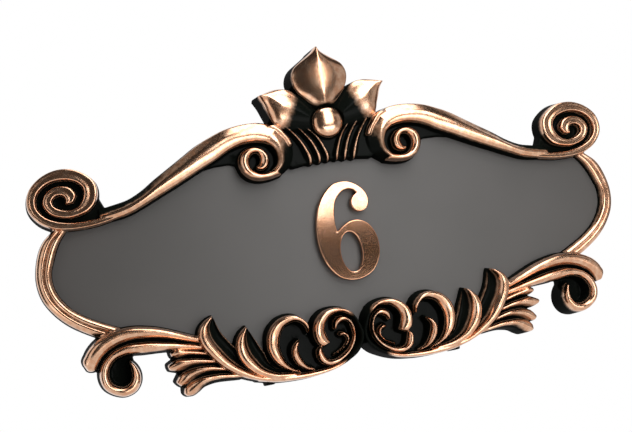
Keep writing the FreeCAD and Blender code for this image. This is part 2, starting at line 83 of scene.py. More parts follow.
def smooth_curve(knots: np.ndarray, values: np.ndarray, wanted: np.ndarray) -> np.ndarray:
    """Cubic curve through rows of values.

    Args:
        knots: Rising parameter of each row.
        values: One row of numbers for each knot.
        wanted: Parameters to read the curve at.

    Returns:
        A row for each wanted parameter.
    """
    spans = np.diff(knots)[:, None]
    slopes = np.diff(values, axis=0) / spans
    tangents = np.empty_like(values, dtype=float)
    tangents[1:-1] = (slopes[:-1] * spans[1:] + slopes[1:] * spans[:-1]) / (spans[1:] + spans[:-1])
    tangents[0] = slopes[0]
    tangents[-1] = slopes[-1]
    i = np.clip(np.searchsorted(knots, wanted, side="right") - 1, 0, len(knots) - 2)
    span = spans[i]
    t = ((wanted - knots[i])[..., None]) / span
    start, end = values[i], values[i + 1]
    return (start * (2 * t ** 3 - 3 * t ** 2 + 1) + end * (3 * t ** 2 - 2 * t ** 3)
            + span * (tangents[i] * (t ** 3 - 2 * t ** 2 + t) + tangents[i + 1] * (t ** 3 - t ** 2)))


def mirrored(half: tuple[Knot, ...]) -> tuple[Knot, ...]:
    """Runs the knots up to the ridge back down the other side."""
    return half + tuple((round(1 - place, 3), share, buffed) for place, share, buffed in half[-2::-1])


class Section(Enum):
    """Cross sections of the carved bands, from their outer to their inner edge.

    Each knot gives the place across, the share of the crest's height, and how far the buffing
    wheel reached. The place 0.5 is the ridge.
    """

    ARM = (
        (0, 0.6, 0.05), (0.1, 0.67, 0.05), (0.25, 0.79, 0.08), (0.38, 0.9, 0.25), (0.46, 0.965, 0.8),
        (0.53, 0.995, 1), (0.6, 0.995, 1), (0.75, 0.955, 1), (0.9, 0.88, 1), (1, 0.8, 0.2))
    SWELL = (
        (0, 0.86, 1), (0.1, 0.91, 1), (0.25, 0.96, 1), (0.38, 0.985, 1), (0.45, 0.996, 1), (0.5, 1, 1),
        (0.58, 0.998, 1), (0.75, 0.985, 1), (0.92, 0.945, 1), (1, 0.89, 0.7))
    BAND = (
        (0, 0.84, 0.6), (0.08, 0.905, 0.95), (0.22, 0.96, 1), (0.38, 0.993, 1), (0.5, 1, 1),
        (0.62, 0.993, 1), (0.8, 0.95, 1), (0.92, 0.9, 0.8), (1, 0.84, 0.3))
    CRESCENT = (
        (0, 0.86, 0.4), (0.06, 0.925, 0.9), (0.15, 0.975, 1), (0.3, 0.995, 1), (0.45, 1, 1),
        (0.62, 0.985, 1), (0.8, 0.94, 1), (0.92, 0.88, 0.7), (1, 0.82, 0.1))
    FLAT = mirrored((
        (0, 0.97, 1), (0.06, 0.985, 1), (0.5, 0.98, 1)))
    RAIL = (
        (0, 0.7, 0.6), (0.08, 0.79, 0.9), (0.22, 0.88, 1), (0.36, 0.915, 1), (0.44, 0.9, 0.9),
        (0.5, 0.83, 0.1), (0.56, 0.925, 0.9), (0.64, 0.985, 1), (0.76, 1, 1), (0.88, 0.96, 1),
        (1, 0.84, 0.4))
    SPOON = (
        (0, 0.88, 0.5), (0.08, 0.945, 1), (0.25, 0.985, 1), (0.44, 1, 1), (0.55, 0.975, 1),
        (0.63, 0.88, 0.8), (0.72, 0.71, 0.2), (0.86, 0.6, 0), (0.95, 0.64, 0), (1, 0.74, 0.7))
    FINGER = (
        (0, 0.78, 0.2), (0.12, 0.9, 0.8), (0.3, 0.985, 1), (0.42, 1, 1), (0.56, 0.98, 0.9),
        (0.7, 0.91, 0.25), (0.85, 0.78, 0), (1, 0.62, 0))
    FOLDED = mirrored((
        (0, 0.765, 0.6), (0.08, 0.83, 0.95), (0.2, 0.905, 1), (0.36, 0.965, 1), (0.485, 0.996, 1),
        (0.5, 0.999, 1)))
    RIB = mirrored((
        (0, 0.62, 0), (0.15, 0.8, 0), (0.36, 0.95, 0.1), (0.44, 0.985, 0.9), (0.5, 1, 1)))

    def shares(self, places: np.ndarray) -> np.ndarray:
        """Smooth share of the crest height at some places across."""
        knots = np.array(self.value)
        return smooth_curve(knots[:, 0], knots[:, 1:2], places)[..., 0]

    def buffed(self, places: np.ndarray) -> np.ndarray:
        """How far the finish is rubbed back to bright copper at some places across."""
        knots = np.array(self.value)
        return np.interp(places, knots[:, 0], knots[:, 2])


@dataclass
class Relief:
    """Height of the carving over the wall on a fine grid that covers the left half.

    Attributes:
        step: Grid pitch in drawing units.
        left: Lowest x of the grid.
        right: Highest x of the grid.
        bottom: Lowest z of the grid.
        top: Highest z of the grid.
        draft: Lean of the side walls.
        depth: How far the walls run on below the wall plane, so that the cut there is clean.
        ring_share: Outer radius of the dark ring round a dome, as a share of the dome's.
        ring_drop: How far that ring lies below the dome's rim.
        corner_steps: Directions in the fan of walls at a corner.
        height: Height over the wall at each place of the grid.
        buffed: How bright each place is rubbed.
    """

    step: float = 0.11
    left: float = -209.0
    right: float = 4.4
    bottom: float = -26.0
    top: float = 206.0
    draft: float = 0.10
    depth: float = 12.0
    ring_share: float = 1.09
    ring_drop: float = 2.5
    corner_steps: int = 40
    height: np.ndarray = field(init=False)
    buffed: np.ndarray = field(init=False)

    def __post_init__(self) -> None:
        """Starts with nothing standing on the wall."""
        cell = 4 * self.step
        self.left = -math.ceil(-self.left / cell) * cell
        self.columns = int(round((self.right - self.left) / self.step)) + 1
        self.rows = int(round((self.top - self.bottom) / self.step)) + 1
        self.height = np.full((self.rows, self.columns), -self.depth, dtype=float)
        self.buffed = np.zeros((self.rows, self.columns), dtype=float)

    def _lay(self, x: np.ndarray, z: np.ndarray, h: np.ndarray, slope_x: np.ndarray,
             slope_z: np.ndarray, buffed: np.ndarray) -> None:
        """Lays surface samples on the grid, where they are higher than what is there.

        Args:
            x: Sample places along x.
            z: Sample places along z.
            h: Sample heights.
            slope_x: Rise of the surface along x, to carry the height to the grid point.
            slope_z: Rise of the surface along z.
            buffed: How bright each sample is rubbed.
        """
        column = np.rint((x - self.left) / self.step).astype(int)
        row = np.rint((z - self.bottom) / self.step).astype(int)
        keep = (column >= 0) & (column < self.columns) & (row >= 0) & (row < self.rows)
        column, row = column[keep], row[keep]
        over_x = self.left + column * self.step - x[keep]
        over_z = self.bottom + row * self.step - z[keep]
        lifted = h[keep] + slope_x[keep] * over_x + slope_z[keep] * over_z
        low_r, low_c = row.min(), column.min()
        patch = np.full((row.max() - low_r + 1, column.max() - low_c + 1), -np.inf)
        shine = np.zeros_like(patch)
        np.maximum.at(patch, (row - low_r, column - low_c), lifted)
        shine[row - low_r, column - low_c] = buffed[keep]
        window = (slice(low_r, row.max() + 1), slice(low_c, column.max() + 1))
        wins = patch > self.height[window]
        self.height[window] = np.where(wins, patch, self.height[window])
        self.buffed[window] = np.where(wins, shine, self.buffed[window])

    def _walls(self, x: np.ndarray, z: np.ndarray, h: np.ndarray, angle: np.ndarray,
               buffed: np.ndarray) -> None:
        """Drops drafted walls from a rim, outwards along the given directions."""
        reach = np.arange(0.0, (h.max() + self.depth) * self.draft, self.step * 0.55)[:, None]
        out_x, out_z = np.cos(angle), np.sin(angle)
        grid_x = x + out_x * reach
        grid_z = z + out_z * reach
        heights = h - reach / self.draft
        full = np.ones_like(grid_x)
        shine = buffed * np.exp(-reach / 0.45) * full
        self._lay(grid_x.ravel(), grid_z.ravel(), heights.ravel(),
                  (-out_x / self.draft * full).ravel(), (-out_z / self.draft * full).ravel(),
                  shine.ravel())

    def ridge(self, stations: list[Station], section: Section, crest: float,
              last_section: Section | None = None, tones: list[float] | None = None) -> None:
        """Carves one band through its stations, with walls all round.

        Args:
            stations: Outer x and z, inner x and z, share of the crest (1), place of the ridge (0.5).
            section: Cross section.
            crest: Height of the highest place.
            last_section: Cross section at the last station, where it changes along the band.
            tones: How much of the section's rubbing each station gets, where it isn't all.
        """
        rows = np.array([(*station, *USUAL_END[len(station) - 4:]) for station in stations])
        tone = np.array(tones if tones else [1.0] * len(stations))[:, None]
        turn = np.linspace(0.0, 1.0 if last_section else 0.0, len(stations))[:, None]
        rows = np.hstack([rows, tone, turn])
        middle = (rows[:, 0:2] + rows[:, 2:4]) / 2
        along = np.r_[0.0, np.cumsum(np.hypot(*np.diff(middle, axis=0).T))]
        fine = np.linspace(0.0, along[-1], int(along[-1] / (self.step * 0.55)) + 2)
        rows = smooth_curve(along, rows, fine)
        width = np.hypot(rows[:, 2] - rows[:, 0], rows[:, 3] - rows[:, 1]).max()
        across = np.linspace(0.0, 1.0, int(width / (self.step * 0.55)) + 4)
        top = np.clip(rows[:, 5:6], 0.05, 0.95)
        place = np.where(across < top, 0.5 * across / top, 0.5 + 0.5 * (across - top) / (1 - top))
        x = rows[:, 0:1] + (rows[:, 2:3] - rows[:, 0:1]) * across
        z = rows[:, 1:2] + (rows[:, 3:4] - rows[:, 1:2]) * across
        last = last_section or section
        turn = rows[:, 7:8]
        shares = section.shares(place) * (1 - turn) + last.shares(place) * turn
        h = crest * rows[:, 4:5] * shares
        shine = section.buffed(place) * (1 - turn) + last.buffed(place) * turn
        shine = shine * rows[:, 6:7].clip(0, 1)
        dx_t, dx_u = np.gradient(x)
        dz_t, dz_u = np.gradient(z)
        dh_t, dh_u = np.gradient(h)
        area = dx_t * dz_u - dz_t * dx_u
        area = np.where(np.abs(area) < 1e-7, 1e-7, area)
        slope_x = np.clip((dh_t * dz_u - dh_u * dz_t) / area, -3, 3)
        slope_z = np.clip((dh_u * dx_t - dh_t * dx_u) / area, -3, 3)
        self._lay(x.ravel(), z.ravel(), h.ravel(), slope_x.ravel(), slope_z.ravel(), shine.ravel())
        self._rim(x, z, h, shine)

    def _rim(self, x: np.ndarray, z: np.ndarray, h: np.ndarray, shine: np.ndarray) -> None:
        """Runs round the four sides of a carved patch and drops its walls."""
        sides = [(slice(None), 0), (-1, slice(None)), (slice(None, None, -1), -1), (0, slice(None, None, -1))]
        centre_side = np.sign((x[0, 0] - x[0, -1]) * (z[1, 0] - z[0, 0])
                              - (z[0, 0] - z[0, -1]) * (x[1, 0] - x[0, 0]))
        loop_x, loop_z, loop_h, loop_s, loop_a = [], [], [], [], []
        for side in sides:
            sx, sz, sh, ss = x[side], z[side], h[side], shine[side]
            if np.hypot(sx[0] - sx[-1], sz[0] - sz[-1]) < 1e-6 and np.ptp(sx) < 1e-6:
                continue
            turn = np.arctan2(np.gradient(sz), np.gradient(sx)) - centre_side * math.pi / 2
            turn = np.unwrap(turn)
            if loop_a:
                last = loop_a[-1][-1]
                step = (turn[0] - last + math.pi) % (2 * math.pi) - math.pi
                fan = last + np.linspace(0, step, self.corner_steps)
                self._corner(loop_x, loop_z, loop_h, loop_s, loop_a, sx[0], sz[0], sh[0], ss[0], fan)
                turn = turn + (last + step - turn[0])
            loop_x.append(sx)
            loop_z.append(sz)
            loop_h.append(sh)
            loop_s.append(ss)
            loop_a.append(turn)
        step = (loop_a[0][0] - loop_a[-1][-1] + math.pi) % (2 * math.pi) - math.pi
        fan = loop_a[-1][-1] + np.linspace(0, step, self.corner_steps)
        self._corner(loop_x, loop_z, loop_h, loop_s, loop_a, x[0, 0], z[0, 0], h[0, 0], shine[0, 0], fan)
        self._walls(*(np.concatenate(part) for part in (loop_x, loop_z, loop_h, loop_a, loop_s)))

    @staticmethod
    def _corner(loop_x: list, loop_z: list, loop_h: list, loop_s: list, loop_a: list,
                x: float, z: float, h: float, shine: float, fan: np.ndarray) -> None:
        """Adds a fan of directions at one corner of a rim."""
        loop_x.append(np.full_like(fan, x))
        loop_z.append(np.full_like(fan, z))
        loop_h.append(np.full_like(fan, h))
        loop_s.append(np.full_like(fan, shine))
        loop_a.append(fan)

    def bed(self, outline: list[Point], height: float) -> None:
        """Lays a flat sunk floor on a plan outline."""
        corners = np.array(outline, dtype=float)
        margin = (height + self.depth) * self.draft
        low = corners.min(axis=0) - margin
        high = corners.max(axis=0) + margin
        c0, c1 = (np.clip(int(round((v - self.left) / self.step)), 0, self.columns - 1)
                  for v in (low[0], high[0]))
        r0, r1 = (np.clip(int(round((v - self.bottom) / self.step)), 0, self.rows - 1)
                  for v in (low[1], high[1]))
        xs = self.left + np.arange(c0, c1 + 1) * self.step
        zs = self.bottom + np.arange(r0, r1 + 1) * self.step
        grid_x, grid_z = np.meshgrid(xs, zs)
        nearest = np.full(grid_x.shape, np.inf)
        inside = np.zeros(grid_x.shape, dtype=bool)
        for (ax, az), (bx, bz) in zip(corners, np.roll(corners, -1, axis=0)):
            ex, ez = bx - ax, bz - az
            t = np.clip(((grid_x - ax) * ex + (grid_z - az) * ez) / (ex * ex + ez * ez), 0, 1)
            nearest = np.minimum(nearest, np.hypot(grid_x - ax - t * ex, grid_z - az - t * ez))
            if az != bz:
                crosses = (az > grid_z) != (bz > grid_z)
                inside ^= crosses & (grid_x < ax + (grid_z - az) * ex / ez)
        outward = np.where(inside, 0.0, nearest)
        patch = height - outward / self.draft
        window = (slice(r0, r1 + 1), slice(c0, c1 + 1))
        wins = patch > self.height[window]
        self.height[window] = np.where(wins, patch, self.height[window])
        self.buffed[window] = np.where(wins, 0.0, self.buffed[window])

    def dome(self, centre: Point, radius: float, crest: float, rise: float) -> None:
        """Sets a round bead in a thin dark ring.

        Args:
            centre: Place of its middle.
            radius: Half its width.
            crest: Height of its top.
            rise: How far its top stands over its rim.
        """
        xs = self.left + np.arange(self.columns) * self.step - centre[0]
        zs = self.bottom + np.arange(self.rows) * self.step - centre[1]
        away = np.hypot(*np.meshgrid(xs, zs)) / radius
        cap = crest - rise * (1 - np.sqrt(np.clip(1 - away ** 2, 0, 1)))
        ring = (away >= 1) & (away < self.ring_share)
        self.height = np.where(away < 1, cap, self.height)
        self.height = np.where(ring, np.minimum(self.height, crest - rise - self.ring_drop), self.height)
        self.buffed = np.where(away < 1, np.clip((1 - away) / 0.05, 0, 1), self.buffed)
        self.buffed = np.where(ring, 0.0, self.buffed)

    @staticmethod
    def blur(values: np.ndarray, radius: float) -> np.ndarray:
        """Softens a grid with a bell-shaped brush whose radius is in grid steps."""
        reach = int(math.ceil(3 * radius))
        offsets = np.arange(-reach, reach + 1)
        weights = np.exp(-0.5 * (offsets / radius) ** 2)
        weights /= weights.sum()
        for axis in (0, 1):
            pad = [(reach, reach) if a == axis else (0, 0) for a in (0, 1)]
            wide = np.pad(values, pad, mode="edge")
            total = np.zeros_like(values)
            for offset, weight in zip(offsets, weights):
                start = reach + offset
                window = [slice(None), slice(None)]
                window[axis] = slice(start, start + values.shape[axis])
                total += weight * wide[tuple(window)]
            values = total
        return values

    def cut_above(self, limit: float) -> None:
        """Ends everything at one highest z, where the solids end too."""
        first = int(math.ceil((limit - self.bottom) / self.step))
        self.height[first:] = -self.depth

    def soften(self, radius: float) -> None:
        """Rounds every edge a little, as a moulding and its plating do."""
        self.height = self.blur(self.height, radius / self.step)
        self.buffed = self.blur(self.buffed, radius / self.step)

    def read(self, values: np.ndarray, x: np.ndarray, z: np.ndarray) -> np.ndarray:
        """Reads a grid at drawing places, on either half."""
        column = np.clip((-np.abs(x) - self.left) / self.step, 0, self.columns - 1.001)
        row = np.clip((z - self.bottom) / self.step, 0, self.rows - 1.001)
        c, r = column.astype(int), row.astype(int)
        fc, fr = column - c, row - r
        return ((values[r, c] * (1 - fc) + values[r, c + 1] * fc) * (1 - fr)
                + (values[r + 1, c] * (1 - fc) + values[r + 1, c + 1] * fc) * fr)


@dataclass(frozen=True)
class Crests:
    """Highest places of the ornaments and heights of the sunk floors, in drawing units."""

    arm: float = 22.5
    volute: float = 15.5
    rail: float = 14.0
    rib: float = 22.5
    curl: float = 23.0
    finger: float = 19.5
    leaf: float = 22.7
    hook_leaf: float = 26.0
    small_leaf: float = 25.5
    scroll: float = 26.6
    inner_scroll: float = 24.5
    inner_hook: float = 21.5
    collar_rib: float = 21.0
    petal: float = 25.3
    side_petal: float = 22.5
    bead: float = 25.3
    bead_radius: float = 10.8
    bead_rise: float = 5.5
    volute_floor: float = 8.0
    curl_floor: float = 8.5
    rib_floor: float = 14.0
    fan_floor: float = 7.5
    collar_floor: float = 14.5
    crown_floor: float = 12.0
    arm_floor: float = 11.2
    leaf_floor: float = 11.0
    stub: float = 11.0


@dataclass
class Carving:
    """The carved ornament of the surround, ornament by ornament, on one relief.

    Attributes:
        crests: Heights of the ornaments.
        relief: Grid that the ornaments are laid on.
        tip: Highest z of the tall petal.
        edge_radius: How far every edge is rounded.
    """

    crests: Crests = field(default_factory=Crests)
    relief: Relief = field(default_factory=Relief)
    tip: float = 200.8
    edge_radius: float = 0.30

    def carve(self) -> Relief:
        """Lays every ornament and softens the whole.

        Returns:
            The finished relief of the left half.
        """
        for ornament in (self.large_volute, self.arm, self.rail, self.corner_ribs, self.fan,
                         self.leaves, self.stub, self.centre_scroll, self.collar,
                         self.side_petal, self.crown_middle):
            ornament()
        self.relief.cut_above(self.tip)
        self.relief.soften(self.edge_radius)
        return self.relief

    def large_volute(self) -> None:
        """A flat band that coils in from the arm, over a sunk floor."""
        coil = [
            (-138, 107.6, -139, 112, 1.06), (-150, 104, -150, 107.8, 1.03),
            (-170, 101, -170, 105),
            (-180, 101.2, -179, 105.5), (-190, 103.5, -188, 108),
            (-198.5, 109, -194.5, 112), (-203.5, 117.5, -198.2, 118.5),
            (-202.3, 128, -197, 126), (-194.3, 136.6, -190.5, 131.9),
            (-181, 141, -180.5, 134), (-168, 137.8, -171, 131.2),
            (-159.8, 130, -167.3, 126.2), (-159.5, 120, -168.5, 119.5),
            (-164.5, 112.8, -172.5, 115), (-173, 109.5, -178, 113.6),
            (-182, 109.3, -184, 115), (-190.3, 113, -187.5, 118),
            (-194, 120, -187.8, 121.5), (-190.5, 127, -184.8, 124),
            (-182, 130, -180.5, 123.5), (-175, 127.5, -179.3, 121),
            (-172.6, 123, -179.5, 119.5), (-175, 118.5, -179.7, 118)]
        floor = [
            (-150, 111), (-156, 113), (-158.5, 119), (-160, 127), (-165, 134), (-172, 138.2),
            (-181, 139.4), (-191, 136.8), (-199, 130.8), (-202.8, 123), (-202.8, 116),
            (-198, 108.9), (-190, 104), (-180, 101.8), (-165, 101.8), (-150, 104.6)]
        self.relief.bed(floor, self.crests.volute_floor)
        self.relief.ridge(coil, Section.FLAT, self.crests.volute)

    def arm(self) -> None:
        """An S-shaped arm that swells and coils into the small volute."""
        stations = [
            (-160, 112, -159, 103, 0.69, 0.6), (-150, 113.5, -150, 103.5, 0.76, 0.55),
            (-140, 115.5, -140, 105.5, 0.82), (-130, 120, -130, 109.5, 0.87, 0.52),
            (-120, 126.5, -120, 114, 0.89, 0.48), (-110, 132.5, -110, 118.5, 0.91, 0.46),
            (-100, 138.5, -100, 123.2, 0.93, 0.45), (-90, 144.5, -90, 128, 0.96, 0.43),
            (-80, 149, -79, 133, 0.98, 0.4), (-70, 152.5, -69, 138.3, 0.99, 0.42),
            (-58, 154.2, -60, 140.9), (-46, 153.5, -51, 141.3, 1, 0.55),
            (-35, 149.5, -44.5, 139.8, 1, 0.6), (-28.5, 141, -40.3, 136, 1, 0.65),
            (-27, 131, -38.3, 130, 0.97, 0.7), (-30, 122.5, -39.3, 124.5, 0.97, 0.65),
            (-37, 117, -43, 120.5, 0.97, 0.55), (-46, 115.1, -48.1, 119.2, 0.97),
            (-53.2, 115.2, -52.1, 119.7, 0.97), (-59.6, 117.8, -55.4, 122.2, 0.97),
            (-63.5, 122.7, -57.4, 125.9, 0.97), (-64.6, 129, -57.3, 129.7, 0.97),
            (-62.5, 134.2, -55.6, 132.5, 0.97), (-58.1, 137.2, -53.5, 133.5, 0.97),
            (-52.5, 137.7, -51.5, 133.3, 0.97), (-47.1, 135.4, -50.4, 131.8, 0.96, 0.4),
            (-44, 131, -49.9, 129.5, 0.95, 0.35), (-43.9, 126.6, -50.4, 127.4, 0.94, 0.35),
            (-46.1, 123.1, -51.4, 125.6, 0.93, 0.35), (-49.7, 121.7, -52.2, 124.9, 0.92, 0.4),
            (-53, 122.6, -52.9, 124.7, 0.9)]
        web = [
            (-92, 140), (-92, 127.5), (-80, 129.4), (-70, 129.6), (-66, 128), (-63, 120),
            (-55, 117), (-46, 116), (-36, 118), (-32, 124), (-32, 140), (-50, 147), (-70, 147)]
        self.relief.bed(web, self.crests.arm_floor)
        self.relief.ridge(stations[:13], Section.ARM, self.crests.arm, Section.SWELL)
        self.relief.ridge(stations[12:17], Section.SWELL, self.crests.arm, Section.ARM,
                          [1.0, 0.6, 0.5, 0.5, 0.7])
        self.relief.ridge(stations[16:], Section.BAND, self.crests.arm)

    def rail(self) -> None:
        """A double ridge down the side, with the inner bead higher than the outer one."""
        stations = [
            (-190, 103, -180, 103, 0.92), (-197.5, 96, -187, 94.5),
            (-202.5, 86, -192.5, 83), (-205, 73, -195.3, 73),
            (-203.5, 61, -193.6, 62.2), (-198, 50.5, -187, 51.7),
            (-189, 40.8, -177, 43.6), (-180, 34.5, -167.2, 38.2),
            (-170, 29, -157.5, 33.6), (-162, 26, -149.5, 30.4, 0.97)]
        self.relief.ridge(stations, Section.RAIL, self.crests.rail)

    def corner_ribs(self) -> None:
        """Two ribs below the rail: one ends in a lobe, the other in a hollow curl."""
        lobe = [
            (-106, 18, -106, 14, 0.76, 0.35), (-115, 21.8, -115, 17, 0.89, 0.35),
            (-140, 31, -140, 24, 1, 0.35),
            (-155, 32.8, -155, 24.5, 1, 0.35), (-167, 30.5, -165, 21.5, 1, 0.35),
            (-176, 26, -171.5, 17, 0.98, 0.35), (-181.5, 20, -175, 12.5, 0.91, 0.35),
            (-183.7, 14.5, -177, 9.5, 0.82, 0.35), (-181.8, 10.3, -178.5, 9.2, 0.76, 0.35)]
        curl = [
            (-104, 13, -104, 9.5, 0.7, 0.35),
            (-130, 19.4, -130, 14.3, 0.96, 0.35), (-145, 22, -145, 15.2, 0.99, 0.35),
            (-158, 21.8, -157, 16, 1, 0.4), (-167, 18, -164, 13.8, 1, 0.4),
            (-173, 11.5, -168, 9), (-174.8, 4, -169, 4),
            (-172.8, -3, -167.3, -0.5, 0.98), (-167.5, -7.6, -164, -2.8, 0.96),
            (-160.5, -9.8, -160.3, -3.5, 0.96), (-153.8, -7.8, -157, -2, 0.93),
            (-150, -2.5, -155, 1.5, 0.91), (-149.7, 4, -154.5, 5.5, 0.87),
            (-152, 9, -154.8, 8.8, 0.83), (-154.5, 11.7, -155.2, 11, 0.8)]
        groove = [
            (-104, 16), (-125, 22), (-150, 27), (-168, 24), (-178, 16), (-180, 11), (-174, 10),
            (-172, 14), (-166, 19), (-150, 19), (-125, 16), (-104, 11)]
        hollow = [
            (-172, 4), (-168, -3), (-160, -7), (-153, -3), (-152, 5), (-153, 14), (-148, 17),
            (-158, 19), (-168, 15)]
        self.relief.bed(groove, self.crests.rib_floor)
        self.relief.bed(hollow, self.crests.curl_floor)
        self.relief.ridge(lobe, Section.BAND, self.crests.rib)
        self.relief.ridge(curl, Section.BAND, self.crests.curl)

    def fan(self) -> None:
        """Four round-ended fingers that spread from under the first leaf."""
        fingers = [
            [(-100, 7.5, -100, 4, 0.91, 0.35),
             (-119, 12.4, -119, 8, 0.93, 0.35), (-125.5, 14, -125, 8.2, 0.93, 0.4),
             (-128.5, 12.5, -128, 9.4, 0.88)],
            [(-96, 2, -96, -1, 0.97, 0.35),
             (-117, 6.4, -117, 0.3, 0.97, 0.35), (-126, 6.8, -125.5, -0.6, 0.95, 0.4),
             (-131.2, 4.4, -130.5, 1, 0.88)],
            [(-90, -4.5, -90, -7, 1, 0.35),
             (-110, 0.2, -110, -6, 1, 0.35), (-118.5, -0.4, -117, -7.8, 0.97, 0.4),
             (-124.5, -3, -121.3, -9.8, 0.94), (-127.6, -7, -124.8, -10.2, 0.88)],
            [(-85, -9, -85, -12.8, 1.03, 0.4),
             (-104, -6.3, -104, -12, 1.03, 0.4), (-112, -6.7, -110, -13.3, 1.03, 0.4),
             (-119.2, -9, -114.5, -16, 0.98), (-123.4, -12.8, -118.5, -17.4, 0.92),
             (-123.6, -15.2, -121.5, -17.2, 0.86)]]
        web = [
            (-92, 6), (-110, 8), (-125, 12.5), (-128, 9), (-126, 7), (-130, 4.5), (-129, 0.8),
            (-123, -1), (-126, -5), (-124, -9), (-117.5, -8), (-121.5, -13), (-118, -16.5),
            (-112, -13), (-92, -11)]
        self.relief.bed(web, self.crests.fan_floor)
        for finger in fingers:
            self.relief.ridge(finger, Section.FINGER, self.crests.finger, Section.BAND)

    def leaves(self) -> None:
        """Two spooned leaves, a hooked one and a small inner one, on a common bed."""
        first = [
            (-62, -18.5, -62, -14, 0.81, 0.4), (-75, -15.5, -72, -10.5, 0.86, 0.35),
            (-88, -9.5, -79, -3, 0.91, 0.3), (-97, -2.5, -84, 3, 0.96, 0.27),
            (-104, 6, -87, 8.5, 0.98, 0.25), (-108.5, 14, -90.5, 13.5, 0.98, 0.24),
            (-109.5, 20, -94, 19, 0.97, 0.26), (-107, 26, -96.3, 25, 0.96, 0.3),
            (-102, 29.7, -97.3, 28.5, 0.94, 0.4), (-98.9, 30.9, -97.9, 30.2, 0.91)]
        second = [
            (-50, -18, -50, -13, 0.84, 0.4), (-66, -15.5, -62, -9.5, 0.91, 0.35),
            (-76, -11, -66.5, -4, 0.96, 0.3), (-82, -5, -68, 1, 1, 0.27),
            (-85.5, 2, -70, 5, 1, 0.26), (-86.2, 9, -72, 9.5, 1, 0.27),
            (-84, 15, -74.2, 14, 0.98, 0.32), (-80.5, 18.6, -76, 18, 0.96, 0.42),
            (-77.8, 20.4, -76.8, 19.6, 0.94)]
        hooked = [
            (-46, -15.5, -46.5, -13.8, 0.7), (-51.5, -13.6, -50.8, -11.8, 0.76),
            (-57, -10.7, -54.2, -8.2, 0.82), (-62.5, -5.4, -56.9, -2.1, 0.87),
            (-65.6, 1.1, -57.8, 3.3, 0.89), (-66, 7.8, -57.2, 8.1, 0.91),
            (-64.4, 13.8, -55.7, 11.8, 0.92), (-61, 18.3, -53, 15.7, 0.94),
            (-56.3, 21.6, -49.6, 17.5, 0.96), (-50.5, 23, -46.1, 18.2, 0.98),
            (-44.6, 22.3, -43, 17.3), (-39.8, 19.2, -40.7, 15.2),
            (-37.2, 14.9, -38.9, 12.2, 0.98), (-37, 10.6, -38.4, 9.7, 0.93)]
        inner = [
            (-36.9, -15.6, -36.8, -14.2, 0.8), (-43.1, -13.6, -41.1, -12, 0.87),
            (-47.6, -10.3, -43.6, -8.5, 0.92), (-50.2, -5.9, -45.3, -4.6, 0.96),
            (-50.8, -0.9, -46.3, -0.8), (-49, 3.2, -46, 2.3),
            (-45.4, 5.9, -44.6, 5.1, 0.96)]
        bed = [
            (0.5, 3), (-3, 12), (-10, 18), (-17, 20.5), (-25, 18), (-31, 12), (-33, 5), (-36, 6),
            (-38, 10), (-38, 15), (-43, 19), (-50, 20), (-58, 16), (-63, 8), (-64, 0), (-68, 3),
            (-71, 8), (-75, 15), (-80, 16), (-84, 9), (-84, 2), (-88, 8), (-92, 14), (-97, 24),
            (-102, 26), (-107, 20), (-106, 10), (-100, 0), (-90, -7), (-75, -14), (-60, -17.5),
            (-40, -18), (-20, -15), (-8, -9), (0.5, -1)]
        self.relief.bed(bed, self.crests.leaf_floor)
        self.relief.ridge(first, Section.SPOON, self.crests.leaf)
        self.relief.ridge(second, Section.SPOON, self.crests.leaf)
        self.relief.ridge(hooked, Section.CRESCENT, self.crests.hook_leaf)
        self.relief.ridge(inner, Section.CRESCENT, self.crests.small_leaf)

    def centre_scroll(self) -> None:
        """An outer band that runs on as the stem, a second band and a small hook."""
        outer = [
            (-25.4, 0.5, -24.4, 1.6, 0.92), (-28.6, -1, -24.9, 3.6, 0.95, 0.45),
            (-32.6, 1, -25.8, 6.6, 0.98, 0.4), (-34.4, 6.2, -26.4, 9.8, 1, 0.4),
            (-34, 12.4, -25.4, 13.5, 1, 0.4), (-31.3, 17.5, -22.8, 16.6, 1, 0.4),
            (-27.2, 20.9, -20.1, 18.5, 0.99, 0.4), (-22.1, 22.6, -16.8, 19.3, 0.98, 0.4),
            (-16.5, 22.7, -13.7, 19.5, 0.96, 0.4), (-10, 21, -10.5, 18, 0.94, 0.45),
            (-5, 16.8, -6.8, 14.6, 0.91), (-1.5, 10, -4.2, 9, 0.87),
            (0.5, 3, -2.8, 2.5, 0.83), (-1, -3.5, -4, -2.3, 0.79),
            (-5, -9, -7.3, -6.3, 0.77), (-12, -13.5, -13, -10.8, 0.74),
            (-20, -16.8, -20, -14, 0.74), (-35, -19.5, -35, -16, 0.74),
            (-50, -19.9, -50, -15.5, 0.74, 0.45), (-62, -19, -60, -14.5, 0.72, 0.45),
            (-75, -16.2, -73, -12.5, 0.68, 0.45)]
        inner = [
            (-20.1, 9.3, -18.5, 8.7, 0.91), (-19.5, 13.9, -16.6, 11.5, 0.98),
            (-16.3, 16.5, -13.7, 13), (-12.1, 16.5, -10.7, 12.9),
            (-8.4, 13.9, -8.9, 11, 0.98), (-6, 9.4, -7.9, 7.3, 0.95),
            (-5.4, 4, -7.6, 2.8, 0.92), (-7, -2, -9.4, -1.8, 0.9),
            (-10.8, -7.6, -13.2, -6.2, 0.89), (-15.8, -11.4, -17.8, -9.2, 0.89),
            (-21.3, -13.8, -22.3, -10.9, 0.9), (-27, -14.2, -26.4, -10.3, 0.93, 0.45),
            (-31.5, -11.9, -28.4, -7.9, 0.95, 0.4), (-33.8, -7.5, -29.4, -4.9, 0.95, 0.4),
            (-33.6, -3.2, -30.1, -2.5, 0.94, 0.4), (-31.2, -0.8, -30.5, -1.4, 0.91)]
